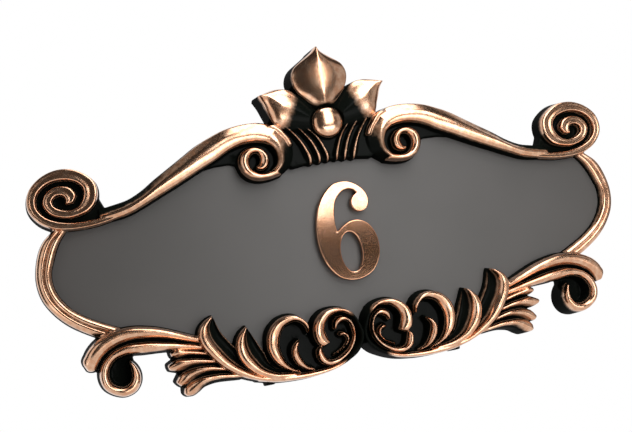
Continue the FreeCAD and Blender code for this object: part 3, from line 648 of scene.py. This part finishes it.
        hook = [
            (-17.2, 5.6, -16, 3.5, 0.92), (-14, 6.2, -14, 3.8),
            (-11, 4.2, -12.8, 2.8), (-10.2, 0.5, -12.3, 0.5, 0.97),
            (-12, -3, -13.4, -2, 0.89), (-16, -6, -16.4, -4.9, 0.84),
            (-22, -8.7, -22, -7.7, 0.78)]
        tones = [0.8] + [1.0] * 8 + [0.8, 0.35, 0.1, 0.05, 0.05, 0.08, 0.25, 0.8, 1.0, 1.0, 1.0, 1.0]
        self.relief.ridge(outer, Section.CRESCENT, self.crests.scroll, Section.BAND, tones)
        self.relief.ridge(inner, Section.BAND, self.crests.inner_scroll)
        self.relief.ridge(hook, Section.BAND, self.crests.inner_hook)

    def collar(self) -> None:
        """A sunk web between the arms, crossed by three thin curved ribs."""
        web = [
            (0.5, 123), (-16, 122.5), (-28, 121), (-33, 124), (-33, 146), (-28, 149), (-12, 146),
            (0.5, 140)]
        ribs = [
            [(-31, 148.6, -25, 145.9), (-26, 142.4, -20, 139.4),
             (-21.5, 134.2, -15.5, 131.8, 0.97), (-18.5, 123.6, -12.5, 123, 0.86),
             (-17.4, 121.6, -13.4, 121.4, 0.78)],
            [(-23.3, 147.3, -17.7, 144.9), (-17.8, 140.3, -12.2, 137.7),
             (-13.8, 132.1, -8.2, 129.9, 0.97), (-11.9, 123.8, -6.2, 123.4, 0.86),
             (-10.9, 121.9, -7.1, 121.7, 0.78)],
            [(-16.5, 146.1, -11.5, 143.9, 0.98), (-11.5, 140.2, -6.5, 137.8, 0.98),
             (-8, 132.8, -3, 131.2, 0.95), (-5.8, 124.1, -0.7, 123.8, 0.86),
             (-4.9, 122.2, -1.6, 122.1, 0.78)]]
        shoulder = [
            (-45, 149.9, -36.5, 150.8, 0.98), (-39.2, 147.5, -32.9, 147.7, 0.98),
            (-35, 143.5, -30.1, 143.9, 0.97), (-31.9, 139.6, -27.6, 140.1, 0.94),
            (-29.8, 135.6, -26.2, 136.1, 0.9)]
        self.relief.bed(web, self.crests.collar_floor)
        self.relief.ridge(shoulder, Section.SWELL, self.crests.arm)
        for rib in ribs:
            self.relief.ridge(rib, Section.RIB, self.crests.collar_rib)

    def side_petal(self) -> None:
        """A folded leaf of the crown that leans outwards."""
        petal = [
            (-6, 158, -12, 143, 0.94, 0.45), (-16, 169, -26, 146, 0.98, 0.45),
            (-24, 174.2, -35.3, 150, 1, 0.45), (-31, 175.2, -39, 159, 1, 0.45),
            (-38, 174, -42, 167, 1, 0.45), (-44.2, 172, -44, 170.8)]
        web = [
            (0.5, 140), (-14, 146), (-33, 147), (-30, 152), (-14, 160), (-12, 170), (0.5, 175)]
        self.relief.bed(web, self.crests.crown_floor)
        tones = [0.0, 0.3, 0.85, 1.0, 1.0, 1.0]
        self.relief.ridge(petal, Section.FOLDED, self.crests.side_petal, tones=tones)

    def stub(self) -> None:
        """A short square stub left under the stem."""
        x, half, top, bottom = -66.0, 2.75, -14.2, -20.2
        corners = [(x - half, bottom), (x + half, bottom), (x + half, top), (x - half, top)]
        self.relief.bed(corners, self.crests.stub)

    def crown_middle(self) -> None:
        """The tall folded petal and the round bead below it."""
        rows = [
            (0.4, 201, 1), (3, 197.8, 1), (9.8, 193, 1), (16, 188.6, 1), (19.2, 183, 1),
            (19, 176.5, 1), (16, 170, 0.99), (11, 164, 0.96), (5, 157, 0.9)]
        petal = [(-x, z, x, z, share) for x, z, share in rows]
        tones = [1.0] * (len(petal) - 2) + [0.8, 0.0]
        self.relief.ridge(petal, Section.FOLDED, self.crests.petal, tones=tones)
        self.relief.dome((0.0, 148.0), self.crests.bead_radius, self.crests.bead,
                         self.crests.bead_rise)


def mesh_piece(name: str, points: list, faces: list) -> bpy.types.Object:
    """Makes one object from points and faces, linked to the scene."""
    data = bpy.data.meshes.new(name)
    data.from_pydata(points, [], faces)
    data.update()
    piece = bpy.data.objects.new(name, data)
    bpy.context.scene.collection.objects.link(piece)
    return piece


def turn_outwards(data: bpy.types.Mesh) -> int:
    """Splits a closed mesh into triangles that all face outwards.

    Args:
        data: Mesh to change.

    Returns:
        How many triangles it has then.
    """
    work = bmesh.new()
    work.from_mesh(data)
    bmesh.ops.triangulate(work, faces=work.faces)
    bmesh.ops.recalc_face_normals(work, faces=work.faces)
    work.to_mesh(data)
    triangles = len(work.faces)
    work.free()
    return triangles


def make_only_material(piece: bpy.types.Object, material: bpy.types.Material) -> None:
    """Gives a piece one material in place of any that it has."""
    piece.data.materials.clear()
    piece.data.materials.append(material)


def apply_modifier(piece: bpy.types.Object, kind: str, **settings: object) -> None:
    """Adds one modifier to a piece and makes its result the piece's mesh."""
    modifier = piece.modifiers.new(kind.lower(), kind)
    for key, value in settings.items():
        setattr(modifier, key, value)
    graph = bpy.context.evaluated_depsgraph_get()
    data = bpy.data.meshes.new_from_object(piece.evaluated_get(graph))
    piece.modifiers.clear()
    piece.data = data


def ring_of(points: np.ndarray, closed: bool, spacing: float) -> np.ndarray:
    """Smooth run through plan points, read at even spacing."""
    if closed:
        points = np.vstack([points[-3:], points, points[:4]])
    along = np.r_[0.0, np.cumsum(np.hypot(*np.diff(points, axis=0).T))]
    start, end = (along[3], along[-4]) if closed else (0.0, along[-1])
    count = max(int(round((end - start) / spacing)), 4)
    return smooth_curve(along, points, np.linspace(start, end, count + 1))[:-1]


@dataclass
class Surround:
    """The moulded surround as one closed mesh, cut from the relief.

    Attributes:
        drawing: Scale of the drawing.
        relief: Carved relief of the left half.
        coarse: Relief steps for one cell of the mesh.
        budget: Most triangles that the mesh may have.
        panel_face: Height of the sheet's front, which is the depth of the rear rebate.
        bare_back: Height over the wall below which nothing is buffed.
        hole_sides: Flat sides of a stud hole.
        ring_spacing: Step along the outline of the rebate.
        sharp_angle: Turn of the surface from which an edge stays sharp.
        stud_hole: Place of one hole's middle, its radius and its depth.
        rebate: Left half of the rebate's outline.
    """

    drawing: Drawing
    relief: Relief
    coarse: int = 4
    budget: int = 190_000
    panel_face: float = 7.8
    bare_back: float = 0.3
    hole_sides: int = 40
    ring_spacing: float = 2.0
    sharp_angle: float = math.radians(62)
    stud_hole: tuple[float, float, float, float] = (181.0, 120.0, 2.5, 5.5)
    rebate: tuple[Point, ...] = (
        (0, 129), (-25, 130), (-50, 133), (-70, 138), (-90, 137), (-110, 125.5), (-130, 114.5),
        (-150, 108), (-168, 105), (-183, 101), (-195, 91), (-200.5, 73), (-198, 58), (-187, 45),
        (-170, 35.5), (-150, 28), (-125, 20.5), (-105, 11), (-85, 4.5), (-60, 2.2), (-30, 2),
        (0, 2))

    def _heights(self) -> tuple[np.ndarray, np.ndarray, np.ndarray]:
        """Both halves of the relief at the mesh's cells, with the places of rows and columns."""
        relief = self.relief
        middle = int(round(-relief.left / relief.step))
        left = relief.height[::self.coarse, :middle + 1:self.coarse]
        whole = np.concatenate([left, left[:, -2::-1]], axis=1)
        half = left.shape[1] - 1
        xs = (np.arange(whole.shape[1]) - half) * relief.step * self.coarse
        zs = relief.bottom + np.arange(whole.shape[0]) * relief.step * self.coarse
        return whole, xs, zs

    def _shell(self) -> tuple[list, list]:
        """Points and faces of the carved front and of the flat back at the wall plane."""
        whole, xs, zs = self._heights()
        solid = whole > 0
        count = int(solid.sum())
        numbers = np.full(whole.shape, -1)
        numbers[solid] = np.arange(count)
        r, c = np.nonzero(solid)
        points = [self.drawing.place(x, z, h) for x, z, h in zip(xs[c], zs[r], whole[r, c])]
        points += [self.drawing.place(x, z, 0.0) for x, z in zip(xs[c], zs[r])]
        crossings: dict[tuple[int, int, int], int] = {}

        def crossing(r0: int, c0: int, r1: int, c1: int) -> int:
            """Number of the point where a cell side meets the wall plane."""
            key = (min(r0, r1), min(c0, c1), int(r0 != r1))
            if key not in crossings:
                h0, h1 = whole[r0, c0], whole[r1, c1]
                t = h0 / (h0 - h1)
                x = xs[c0] + (xs[c1] - xs[c0]) * t
                z = zs[r0] + (zs[r1] - zs[r0]) * t
                crossings[key] = len(points)
                points.append(self.drawing.place(x, z, 0.0))
            return crossings[key]

        filled = (solid[:-1, :-1].astype(int) + solid[:-1, 1:] + solid[1:, 1:] + solid[1:, :-1])
        r, c = np.nonzero(filled == 4)
        faces = np.stack([numbers[r, c], numbers[r, c + 1], numbers[r + 1, c + 1],
                          numbers[r + 1, c]], axis=1).tolist()
        for r0, c0 in zip(*np.nonzero((filled > 0) & (filled < 4))):
            corners = [(r0, c0), (r0, c0 + 1), (r0 + 1, c0 + 1), (r0 + 1, c0)]
            states = [bool(solid[q]) for q in corners]
            if filled[r0, c0] == 2 and states[0] == states[2]:
                for k in range(4):
                    if states[k]:
                        before, after = corners[k - 1], corners[(k + 1) % 4]
                        faces.append([crossing(*before, *corners[k]), int(numbers[corners[k]]),
                                      crossing(*corners[k], *after)])
                continue
            face = []
            for k in range(4):
                here, after = corners[k], corners[(k + 1) % 4]
                if states[k]:
                    face.append(int(numbers[here]))
                if states[k] != states[(k + 1) % 4]:
                    face.append(crossing(*here, *after))
            faces.append(face)
        faces += [[q + count if q < count else q for q in reversed(face)] for face in faces]
        return points, faces

    def _prism(self, name: str, ring: list[Point], low: float, high: float) -> bpy.types.Object:
        """Closed upright prism on a plan ring between two heights."""
        n = len(ring)
        points = [self.drawing.place(x, z, low) for x, z in ring]
        points += [self.drawing.place(x, z, high) for x, z in ring]
        faces = [list(range(n)), list(range(2 * n - 1, n - 1, -1))]
        faces += [[i, i + n, (i + 1) % n + n, (i + 1) % n] for i in range(n)]
        tool = mesh_piece(name, points, faces)
        turn_outwards(tool.data)
        return tool

    def _cut(self, piece: bpy.types.Object, tool: bpy.types.Object) -> None:
        """Takes a tool's solid out of the piece and throws the tool away."""
        apply_modifier(piece, "BOOLEAN", operation="DIFFERENCE", solver="MANIFOLD", object=tool)
        bpy.data.objects.remove(tool)

    def build(self) -> bpy.types.Object:
        """Meshes the shell, thins it out, and cuts the rebate and the stud holes.

        Returns:
            The finished piece, which stands for the CAD node of the frame.
        """
        points, faces = self._shell()
        piece = mesh_piece("carved_surround", points, faces)
        triangles = turn_outwards(piece.data)
        if triangles > self.budget:
            apply_modifier(piece, "DECIMATE", ratio=self.budget / triangles)
        left = np.array(self.rebate)
        outline = np.vstack([left, left[-2:0:-1] * (-1, 1)])
        ring = [tuple(q) for q in ring_of(outline, True, self.ring_spacing)]
        self._cut(piece, self._prism("rebate_tool", ring, -1.0, self.panel_face))
        x, z, radius, depth = self.stud_hole
        for side in (-1, 1):
            turns = np.linspace(0, 2 * math.pi, self.hole_sides + 1)[:-1]
            hole = [(side * x + radius * math.cos(a), z + radius * math.sin(a)) for a in turns]
            self._cut(piece, self._prism("hole_tool", hole, -1.0, depth))
        self._mark(piece)
        piece.data.shade_smooth()
        piece.data.set_sharp_from_angle(angle=self.sharp_angle)
        return piece

    def _mark(self, piece: bpy.types.Object) -> None:
        """Stores on each point how far it is buffed, and nothing on the back."""
        count = len(piece.data.vertices)
        flat = np.zeros(count * 3, np.float32)
        piece.data.vertices.foreach_get("co", flat)
        places = flat.reshape(-1, 3) / self.drawing.unit
        x, z = places[:, 0], places[:, 2] + DRAWN_ORIGIN_Z
        relief = self.relief
        front = np.clip(-places[:, 1] - self.bare_back, 0, 1)
        buffed = relief.read(relief.buffed, x, z) * front
        layer = piece.data.attributes.new("buffed", "FLOAT", "POINT")
        layer.data.foreach_set("value", np.ascontiguousarray(buffed, np.float32))


@dataclass
class HouseNumeral:
    """The raised figure, with a bevelled rim round a flat face.

    Attributes:
        drawing: Scale of the drawing.
        place: Middle of the figure on the drawing.
        base: Height of its back above the wall.
        thickness: How thick it is.
        bevel: Width and depth of the bright rim.
        spacing: Step along the outline.
        sharp_angle: Turn of the surface from which an edge stays sharp.
        hook_inside: Inner outline of the hook.
        bulb_and_back: The rest of the outline, from the bulb round the back.
        counter: Middle and half sizes of the hole in the bowl.
    """

    drawing: Drawing
    place: Point = (2.3, 72.9)
    base: float = 8.6
    thickness: float = 5.2
    bevel: float = 0.7
    spacing: float = 0.5
    sharp_angle: float = math.radians(35)
    hook_inside: tuple[Point, ...] = (
        (-6.8, 0.5), (-7.1, 7), (-6.3, 15), (-4.6, 21), (-1.6, 25.2), (2.4, 27.8), (6.4, 28.3),
        (9.2, 27.2), (10.9, 25.3))
    bulb_and_back: tuple[Point, ...] = (
        (10.9, 25.3), (7.2, 22.3), (5.9, 18), (7.7, 13.6), (12.2, 11.7), (16.9, 13.7),
        (18.9, 18.8), (17.6, 24.6), (13.6, 29.6), (8.4, 32.9), (2.2, 34.1), (-5, 32.9),
        (-11.8, 27.5), (-16.8, 20), (-20.2, 9), (-21.3, -3), (-20, -14), (-16.4, -23.4),
        (-10, -30.8), (-1.5, -34), (6.5, -33.4), (14.2, -29.5), (19.3, -22), (21.2, -11.5),
        (19.7, -3.6), (15.6, 3.2), (9.6, 6.4), (4, 6.4), (-1.6, 4.2), (-6.8, 0.5))
    counter: tuple[float, float, float, float] = (0.9, -14.6, 7.5, 13.6)

    def _inset(self, ring: np.ndarray, amount: float) -> np.ndarray:
        """Draws a closed ring in towards its left-hand side."""
        before = ring - np.roll(ring, 1, axis=0)
        after = np.roll(ring, -1, axis=0) - ring
        before /= np.linalg.norm(before, axis=1)[:, None]
        after /= np.linalg.norm(after, axis=1)[:, None]
        normal = np.stack([-(before + after)[:, 1], (before + after)[:, 0]], axis=1)
        length = np.linalg.norm(normal, axis=1)[:, None]
        normal /= length
        return ring + normal * amount / np.clip(length / 2, 0.6, 1.0)

    def build(self) -> bpy.types.Object:
        """Builds the side, the bevel in three steps, the face and the back.

        Returns:
            The finished figure.
        """
        outer = np.vstack([ring_of(np.array(run, float), False, self.spacing)
                           for run in (self.hook_inside, self.bulb_and_back)])
        turns = np.linspace(0, 2 * math.pi, 101)[:-1]
        cx, cz, half_width, half_height = self.counter
        inner = np.stack([cx + half_width * np.cos(turns), cz + half_height * np.sin(turns)], axis=1)
        if self._area(outer) < 0:
            outer = outer[::-1]
        if self._area(inner) > 0:
            inner = inner[::-1]
        top = self.base + self.thickness
        b = self.bevel
        levels = [(0.0, self.base), (0.0, top - b), (0.25 * b, top - 0.45 * b), (0.65 * b, top - 0.12 * b),
                  (b, top), (b + 0.1, top)]
        work = bmesh.new()
        rims = {0: [], len(levels) - 1: []}
        for ring in (outer, inner):
            rows = []
            for amount, height in levels:
                moved = self._inset(ring, amount) + np.array(self.place)
                rows.append([work.verts.new(self.drawing.place(x, z, height)) for x, z in moved])
            for low, high in zip(rows, rows[1:]):
                for i in range(len(ring)):
                    j = (i + 1) % len(ring)
                    work.faces.new((low[i], low[j], high[j], high[i]))
            for level in rims:
                row = rows[level]
                rims[level] += [work.edges.get((row[i], row[(i + 1) % len(row)]))
                                for i in range(len(row))]
        for level, edges in rims.items():
            bmesh.ops.triangle_fill(work, edges=edges, use_beauty=True)
        bmesh.ops.recalc_face_normals(work, faces=work.faces)
        data = bpy.data.meshes.new("numeral_six")
        work.to_mesh(data)
        work.free()
        piece = bpy.data.objects.new("numeral_six", data)
        bpy.context.scene.collection.objects.link(piece)
        data.shade_smooth()
        data.set_sharp_from_angle(angle=self.sharp_angle)
        return piece

    @staticmethod
    def _area(ring: np.ndarray) -> float:
        """Signed area of a ring, positive when it runs anticlockwise."""
        x, z = ring.T
        return float(np.sum(x * np.roll(z, -1) - np.roll(x, -1) * z) / 2)


class Socket:
    """Wraps one output socket, so that shader maths reads as plain sums."""

    def __init__(self, nodes: "Nodes", socket: bpy.types.NodeSocket) -> None:
        """Keeps the socket and the tree that it belongs to."""
        self.nodes = nodes
        self.socket = socket

    def _math(self, operation: str, first: object, second: object) -> "Socket":
        """Adds one Math node for an operation on two values."""
        return self.nodes.add("ShaderNodeMath", {"operation": operation}, {0: first, 1: second})

    def __add__(self, other: object) -> "Socket":
        """This value plus another."""
        return self._math("ADD", self, other)

    __radd__ = __add__

    def __sub__(self, other: object) -> "Socket":
        """This value less another."""
        return self._math("SUBTRACT", self, other)

    def __rsub__(self, other: object) -> "Socket":
        """Another value less this one."""
        return self._math("SUBTRACT", other, self)

    def __mul__(self, other: object) -> "Socket":
        """This value times another."""
        return self._math("MULTIPLY", self, other)

    __rmul__ = __mul__

    def ramp(self, low: float, high: float) -> "Socket":
        """Smooth step from 0 at low to 1 at high."""
        return self.nodes.add(
            "ShaderNodeMapRange", {"interpolation_type": "SMOOTHSTEP"},
            {"Value": self, "From Min": low, "From Max": high})


class Nodes:
    """Builds one material's node tree around its main shader."""

    def __init__(self, material: bpy.types.Material) -> None:
        """Empties the tree and adds the output and the main shader."""
        material.use_nodes = True
        self.tree = material.node_tree
        self.tree.nodes.clear()
        self.output = self.tree.nodes.new("ShaderNodeOutputMaterial")
        self.shader = self.tree.nodes.new("ShaderNodeBsdfPrincipled")
        self.tree.links.new(self.shader.outputs[0], self.output.inputs[0])

    def add(self, kind: str, settings: dict | None = None, inputs: dict | None = None,
            output: int | str = 0) -> Socket:
        """Adds a node: settings first, then its sockets.

        Args:
            kind: Blender's name of the node type.
            settings: Properties to set on the node.
            inputs: Value or link for each input, by name or place.
            output: Which output to hand back.

        Returns:
            The wanted output, wrapped.
        """
        node = self.tree.nodes.new(kind)
        for key, value in (settings or {}).items():
            setattr(node, key, value)
        self.feed(node, inputs or {})
        return Socket(self, node.outputs[output])

    def feed(self, node: bpy.types.Node, inputs: dict) -> None:
        """Links or sets some inputs of a node."""
        for key, value in inputs.items():
            if isinstance(value, Socket):
                self.tree.links.new(value.socket, node.inputs[key])
            else:
                node.inputs[key].default_value = value

    def mix(self, factor: object, first: object, second: object) -> Socket:
        """Mixes two colours by a factor."""
        return self.add("ShaderNodeMix", {"data_type": "RGBA"}, {0: factor, 6: first, 7: second}, 2)

    def noise(self, scale: float, detail: float = 3.0, roughness: float = 0.5) -> Socket:
        """Noise over the object's own places, from 0 to 1."""
        place = self.add("ShaderNodeTexCoord", output="Object")
        return self.add("ShaderNodeTexNoise", {"noise_dimensions": "3D"},
                        {"Vector": place, "Scale": scale, "Detail": detail, "Roughness": roughness})

    def layer(self, name: str) -> Socket:
        """Reads a value that the mesh carries at its points."""
        return self.add("ShaderNodeAttribute", {"attribute_name": name}, output="Fac")

    def bump(self, height: Socket, strength: float, distance: float) -> None:
        """Feeds a height into the shader's normal."""
        normal = self.add("ShaderNodeBump", {}, {"Height": height, "Strength": strength,
                                                  "Distance": distance})
        self.set({"Normal": normal})

    def blend(self, factor: Socket, other: Socket) -> None:
        """Blends the main shader with another one at the output."""
        both = self.add("ShaderNodeMixShader", {}, {0: factor, 2: other})
        self.tree.links.new(self.shader.outputs[0], both.socket.node.inputs[1])
        self.tree.links.new(both.socket, self.output.inputs[0])

    def set(self, inputs: dict) -> None:
        """Sets or links inputs of the main shader."""
        self.feed(self.shader, inputs)


Colour = tuple[float, float, float, float]


@dataclass(frozen=True)
class AntiqueCopper:
    """Copper plate under black, buffed back on the crests."""

    copper: Colour = (0.67, 0.34, 0.19, 1.0)
    pale: Colour = (0.80, 0.50, 0.33, 1.0)
    black: Colour = (0.004, 0.005, 0.004, 1.0)

    def dress(self, piece: bpy.types.Object) -> None:
        """Gives the piece this finish."""
        material = bpy.data.materials.new("antique_copper")
        nodes = Nodes(material)
        cloud = nodes.noise(260.0, 4.0, 0.6)
        streak = nodes.noise(900.0, 2.0, 0.5)
        buffed = (nodes.layer("buffed") + (cloud - 0.5) * 0.25 + (streak - 0.5) * 0.10).ramp(0.30, 0.75)
        shade = nodes.mix(cloud.ramp(0.35, 0.7), self.copper, self.pale)
        nodes.set({
            "Base Color": nodes.mix(buffed, self.black, shade),
            "Metallic": buffed,
            "Roughness": 0.42 - buffed * 0.21 + (streak - 0.5) * 0.05,
            "Specular IOR Level": 0.0,
            "Coat Weight": buffed * 0.70 + 0.05,
            "Coat Roughness": 0.14})
        nodes.bump(nodes.noise(420.0, 3.0, 0.5), 0.04, 0.0004)
        make_only_material(piece, material)


@dataclass(frozen=True)
class FigureCopper:
    """Polished copper plate of the figure, finely mottled on its face."""

    copper: Colour = (0.72, 0.40, 0.25, 1.0)
    brown: Colour = (0.56, 0.27, 0.14, 1.0)

    def dress(self, piece: bpy.types.Object) -> None:
        """Gives the piece this finish."""
        material = bpy.data.materials.new("figure_copper")
        nodes = Nodes(material)
        mottle = nodes.noise(1500.0, 4.0, 0.65)
        cloud = nodes.noise(180.0, 3.0, 0.5)
        nodes.set({
            "Base Color": nodes.mix((mottle * 0.6 + cloud * 0.4).ramp(0.38, 0.62), self.brown, self.copper),
            "Metallic": 1.0,
            "Roughness": 0.11 + (mottle - 0.5) * 0.10,
            "Coat Weight": 0.8,
            "Coat Roughness": 0.06})
        make_only_material(piece, material)


@dataclass(frozen=True)
class PlainFinish:
    """A plain moulded, rubber or metal finish with a fine surface.

    Attributes:
        name: Name of the finish.
        colour: Its main colour.
        other: Colour that it wanders towards.
        metallic: How metallic it is.
        roughness: How matt it is.
        grain: Scale of its fine surface.
        relief: Strength of that surface.
    """

    name: str
    colour: Colour
    other: Colour
    metallic: float
    roughness: float
    grain: float
    relief: float

    def dress(self, piece: bpy.types.Object) -> None:
        """Gives the piece this finish."""
        material = bpy.data.materials.new(self.name)
        nodes = Nodes(material)
        grain = nodes.noise(self.grain, 3.0, 0.6)
        cloud = nodes.noise(14.0, 2.0, 0.5)
        nodes.set({
            "Base Color": nodes.mix(cloud.ramp(0.3, 0.7), self.colour, self.other),
            "Metallic": self.metallic,
            "Roughness": self.roughness + (grain - 0.5) * 0.08})
        nodes.bump(grain, self.relief, 0.0002)
        make_only_material(piece, material)


@dataclass(frozen=True)
class BackdropFinish:
    """Pale paint that shows white to the camera and in metal, and still takes shadows.

    Attributes:
        name: Name of the finish.
        glow: How much of the white the camera and shiny surfaces see.
    """

    name: str
    glow: float

    def dress(self, piece: bpy.types.Object) -> None:
        """Gives the piece this finish."""
        material = bpy.data.materials.new(self.name)
        nodes = Nodes(material)
        nodes.set({"Base Color": (0.8, 0.8, 0.8, 1.0), "Roughness": 0.9})
        path = [nodes.add("ShaderNodeLightPath", output=f"Is {ray} Ray")
                for ray in ("Camera", "Glossy", "Transmission")]
        seen = nodes.add("ShaderNodeMath", {"operation": "MINIMUM"},
                         {0: path[0] + path[1] + path[2], 1: self.glow})
        white = nodes.add("ShaderNodeEmission", {}, {"Color": (1.0, 1.0, 1.0, 1.0), "Strength": 1.0})
        nodes.blend(seen, white)
        make_only_material(piece, material)


@dataclass
class Studio:
    """Camera, backdrop, pale floor, plain world and soft lamps.

    Attributes:
        focal_pixels: Focal length in pixels of the photograph.
        image_width: Width of the photograph in pixels.
        location: Where the camera stands.
        right: Direction of the picture's right side.
        down: Direction of the picture's lower side.
        back: Direction from the plaque to the camera.
    """

    focal_pixels: float = 1001.665
    image_width: int = 632
    location: tuple[float, float, float] = (-0.1725, -0.6746, -0.0858)
    right: tuple[float, float, float] = (0.9626, -0.2126, -0.1682)
    down: tuple[float, float, float] = (-0.1471, 0.1115, -0.9828)
    back: tuple[float, float, float] = (-0.2277, -0.9708, -0.0761)

    def camera(self) -> None:
        """Sets the camera at the photograph's viewing angle."""
        data = bpy.data.cameras.new("camera")
        data.sensor_width = 36.0
        data.lens = self.focal_pixels * data.sensor_width / self.image_width
        data.clip_start, data.clip_end = 0.01, 50.0
        camera = bpy.data.objects.new("camera", data)
        columns = [Vector(self.right), -Vector(self.down), Vector(self.back)]
        turn = Matrix([list(row) for row in zip(*columns)])
        camera.matrix_world = Matrix.Translation(self.location) @ turn.to_4x4()
        bpy.context.scene.collection.objects.link(camera)
        bpy.context.scene.camera = camera

    def lamp(self, name: str, place: tuple, aim: tuple, size: tuple, radiance: float) -> None:
        """Adds one rectangular soft lamp, as bright to look at as its radiance says."""
        data = bpy.data.lights.new(name, "AREA")
        data.shape = "RECTANGLE"
        data.size, data.size_y = size
        data.energy = radiance * math.pi * size[0] * size[1]
        lamp = bpy.data.objects.new(name, data)
        lamp.location = place
        lamp.rotation_euler = (Vector(aim) - Vector(place)).to_track_quat("-Z", "Y").to_euler()
        bpy.context.scene.collection.objects.link(lamp)

    def world(self) -> None:
        """A plain dim room."""
        world = bpy.data.worlds.new("room")
        bpy.context.scene.world = world
        world.use_nodes = True
        background = world.node_tree.nodes["Background"]
        background.inputs["Color"].default_value = (0.035, 0.035, 0.035, 1.0)

    def surroundings(self) -> None:
        """A white backdrop behind the plaque and a pale floor well below it, as under a door."""
        backdrop = mesh_piece("backdrop", [(-4, 1.5, -1.4), (4, 1.5, -1.4), (4, 1.5, 3), (-4, 1.5, 3)],
                              [(0, 1, 2, 3)])
        BackdropFinish("white_backdrop", 1.0).dress(backdrop)
        floor = mesh_piece("floor", [(-3, -2.6, -1.4), (3, -2.6, -1.4), (3, 1.5, -1.4), (-3, 1.5, -1.4)],
                           [(0, 1, 2, 3)])
        BackdropFinish("pale_floor", 0.85).dress(floor)

    def build(self) -> None:
        """Sets up the whole studio."""
        self.camera()
        self.world()
        self.surroundings()
        self.lamp("key_strip", (0.165, -0.475, 0.318), (0.165, -0.01, 0.128), (0.33, 0.66), 4.8)
        self.lamp("low_strip", (0.115, -0.470, -0.145), (0.115, -0.01, -0.145), (0.43, 0.10), 4.4)
        self.lamp("low_front", (0.115, -0.475, -0.31), (0.115, -0.01, -0.31), (0.43, 0.22), 0.8)
        self.lamp("top_strip", (0.15, -0.15, 0.66), (0.15, -0.14, 0.0), (0.50, 0.40), 4.0)
        self.lamp("low_right", (0.80, -1.50, -0.60), (0.0, 0.0, 0.0), (1.20, 0.80), 0.45)
        self.lamp("right_soft", (0.66, -0.30, 0.05), (0.0, 0.0, 0.0), (0.45, 0.80), 0.45)
        self.lamp("left_soft", (-0.50, -0.26, 0.0), (-0.15, 0.0, 0.0), (0.32, 0.70), 0.9)
        bpy.context.scene.view_settings.view_transform = "Standard"


def main() -> None:
    """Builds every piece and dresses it."""
    logging.basicConfig(level=logging.INFO, format="%(name)s %(message)s")
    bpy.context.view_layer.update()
    drawing = Drawing.from_frame()
    relief = Carving().carve()
    log.info("relief of %d by %d steps", relief.rows, relief.columns)
    surround = Surround(drawing, relief).build()
    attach(surround, "root")
    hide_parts("frame")
    AntiqueCopper().dress(surround)
    log.info("surround of %d faces", len(surround.data.polygons))
    numeral = HouseNumeral(drawing).build()
    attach(numeral, "root")
    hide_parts("numeral_6")
    FigureCopper().dress(numeral)
    log.info("numeral of %d faces", len(numeral.data.polygons))
    nodes = frame["nodes"]
    PlainFinish("satin_sheet", (0.072, 0.067, 0.063, 1), (0.079, 0.073, 0.069, 1), 0.0, 0.45, 1800.0,
                0.03).dress(nodes["name_panel"])
    PlainFinish("foam_tape", (0.03, 0.03, 0.03, 1), (0.05, 0.05, 0.05, 1), 0.0, 0.8, 900.0,
                0.2).dress(nodes["numeral_tape"])
    PlainFinish("zinc_screw", (0.55, 0.55, 0.56, 1), (0.6, 0.6, 0.58, 1), 1.0, 0.35, 1200.0,
                0.1).dress(nodes["panel_screws"])
    for name in ("name_panel", "numeral_tape", "panel_screws"):
        log.info("%s keeps its solid of %d faces", name, len(nodes[name].data.polygons))
    Studio().build()


if __name__ == "__main__":
    main()
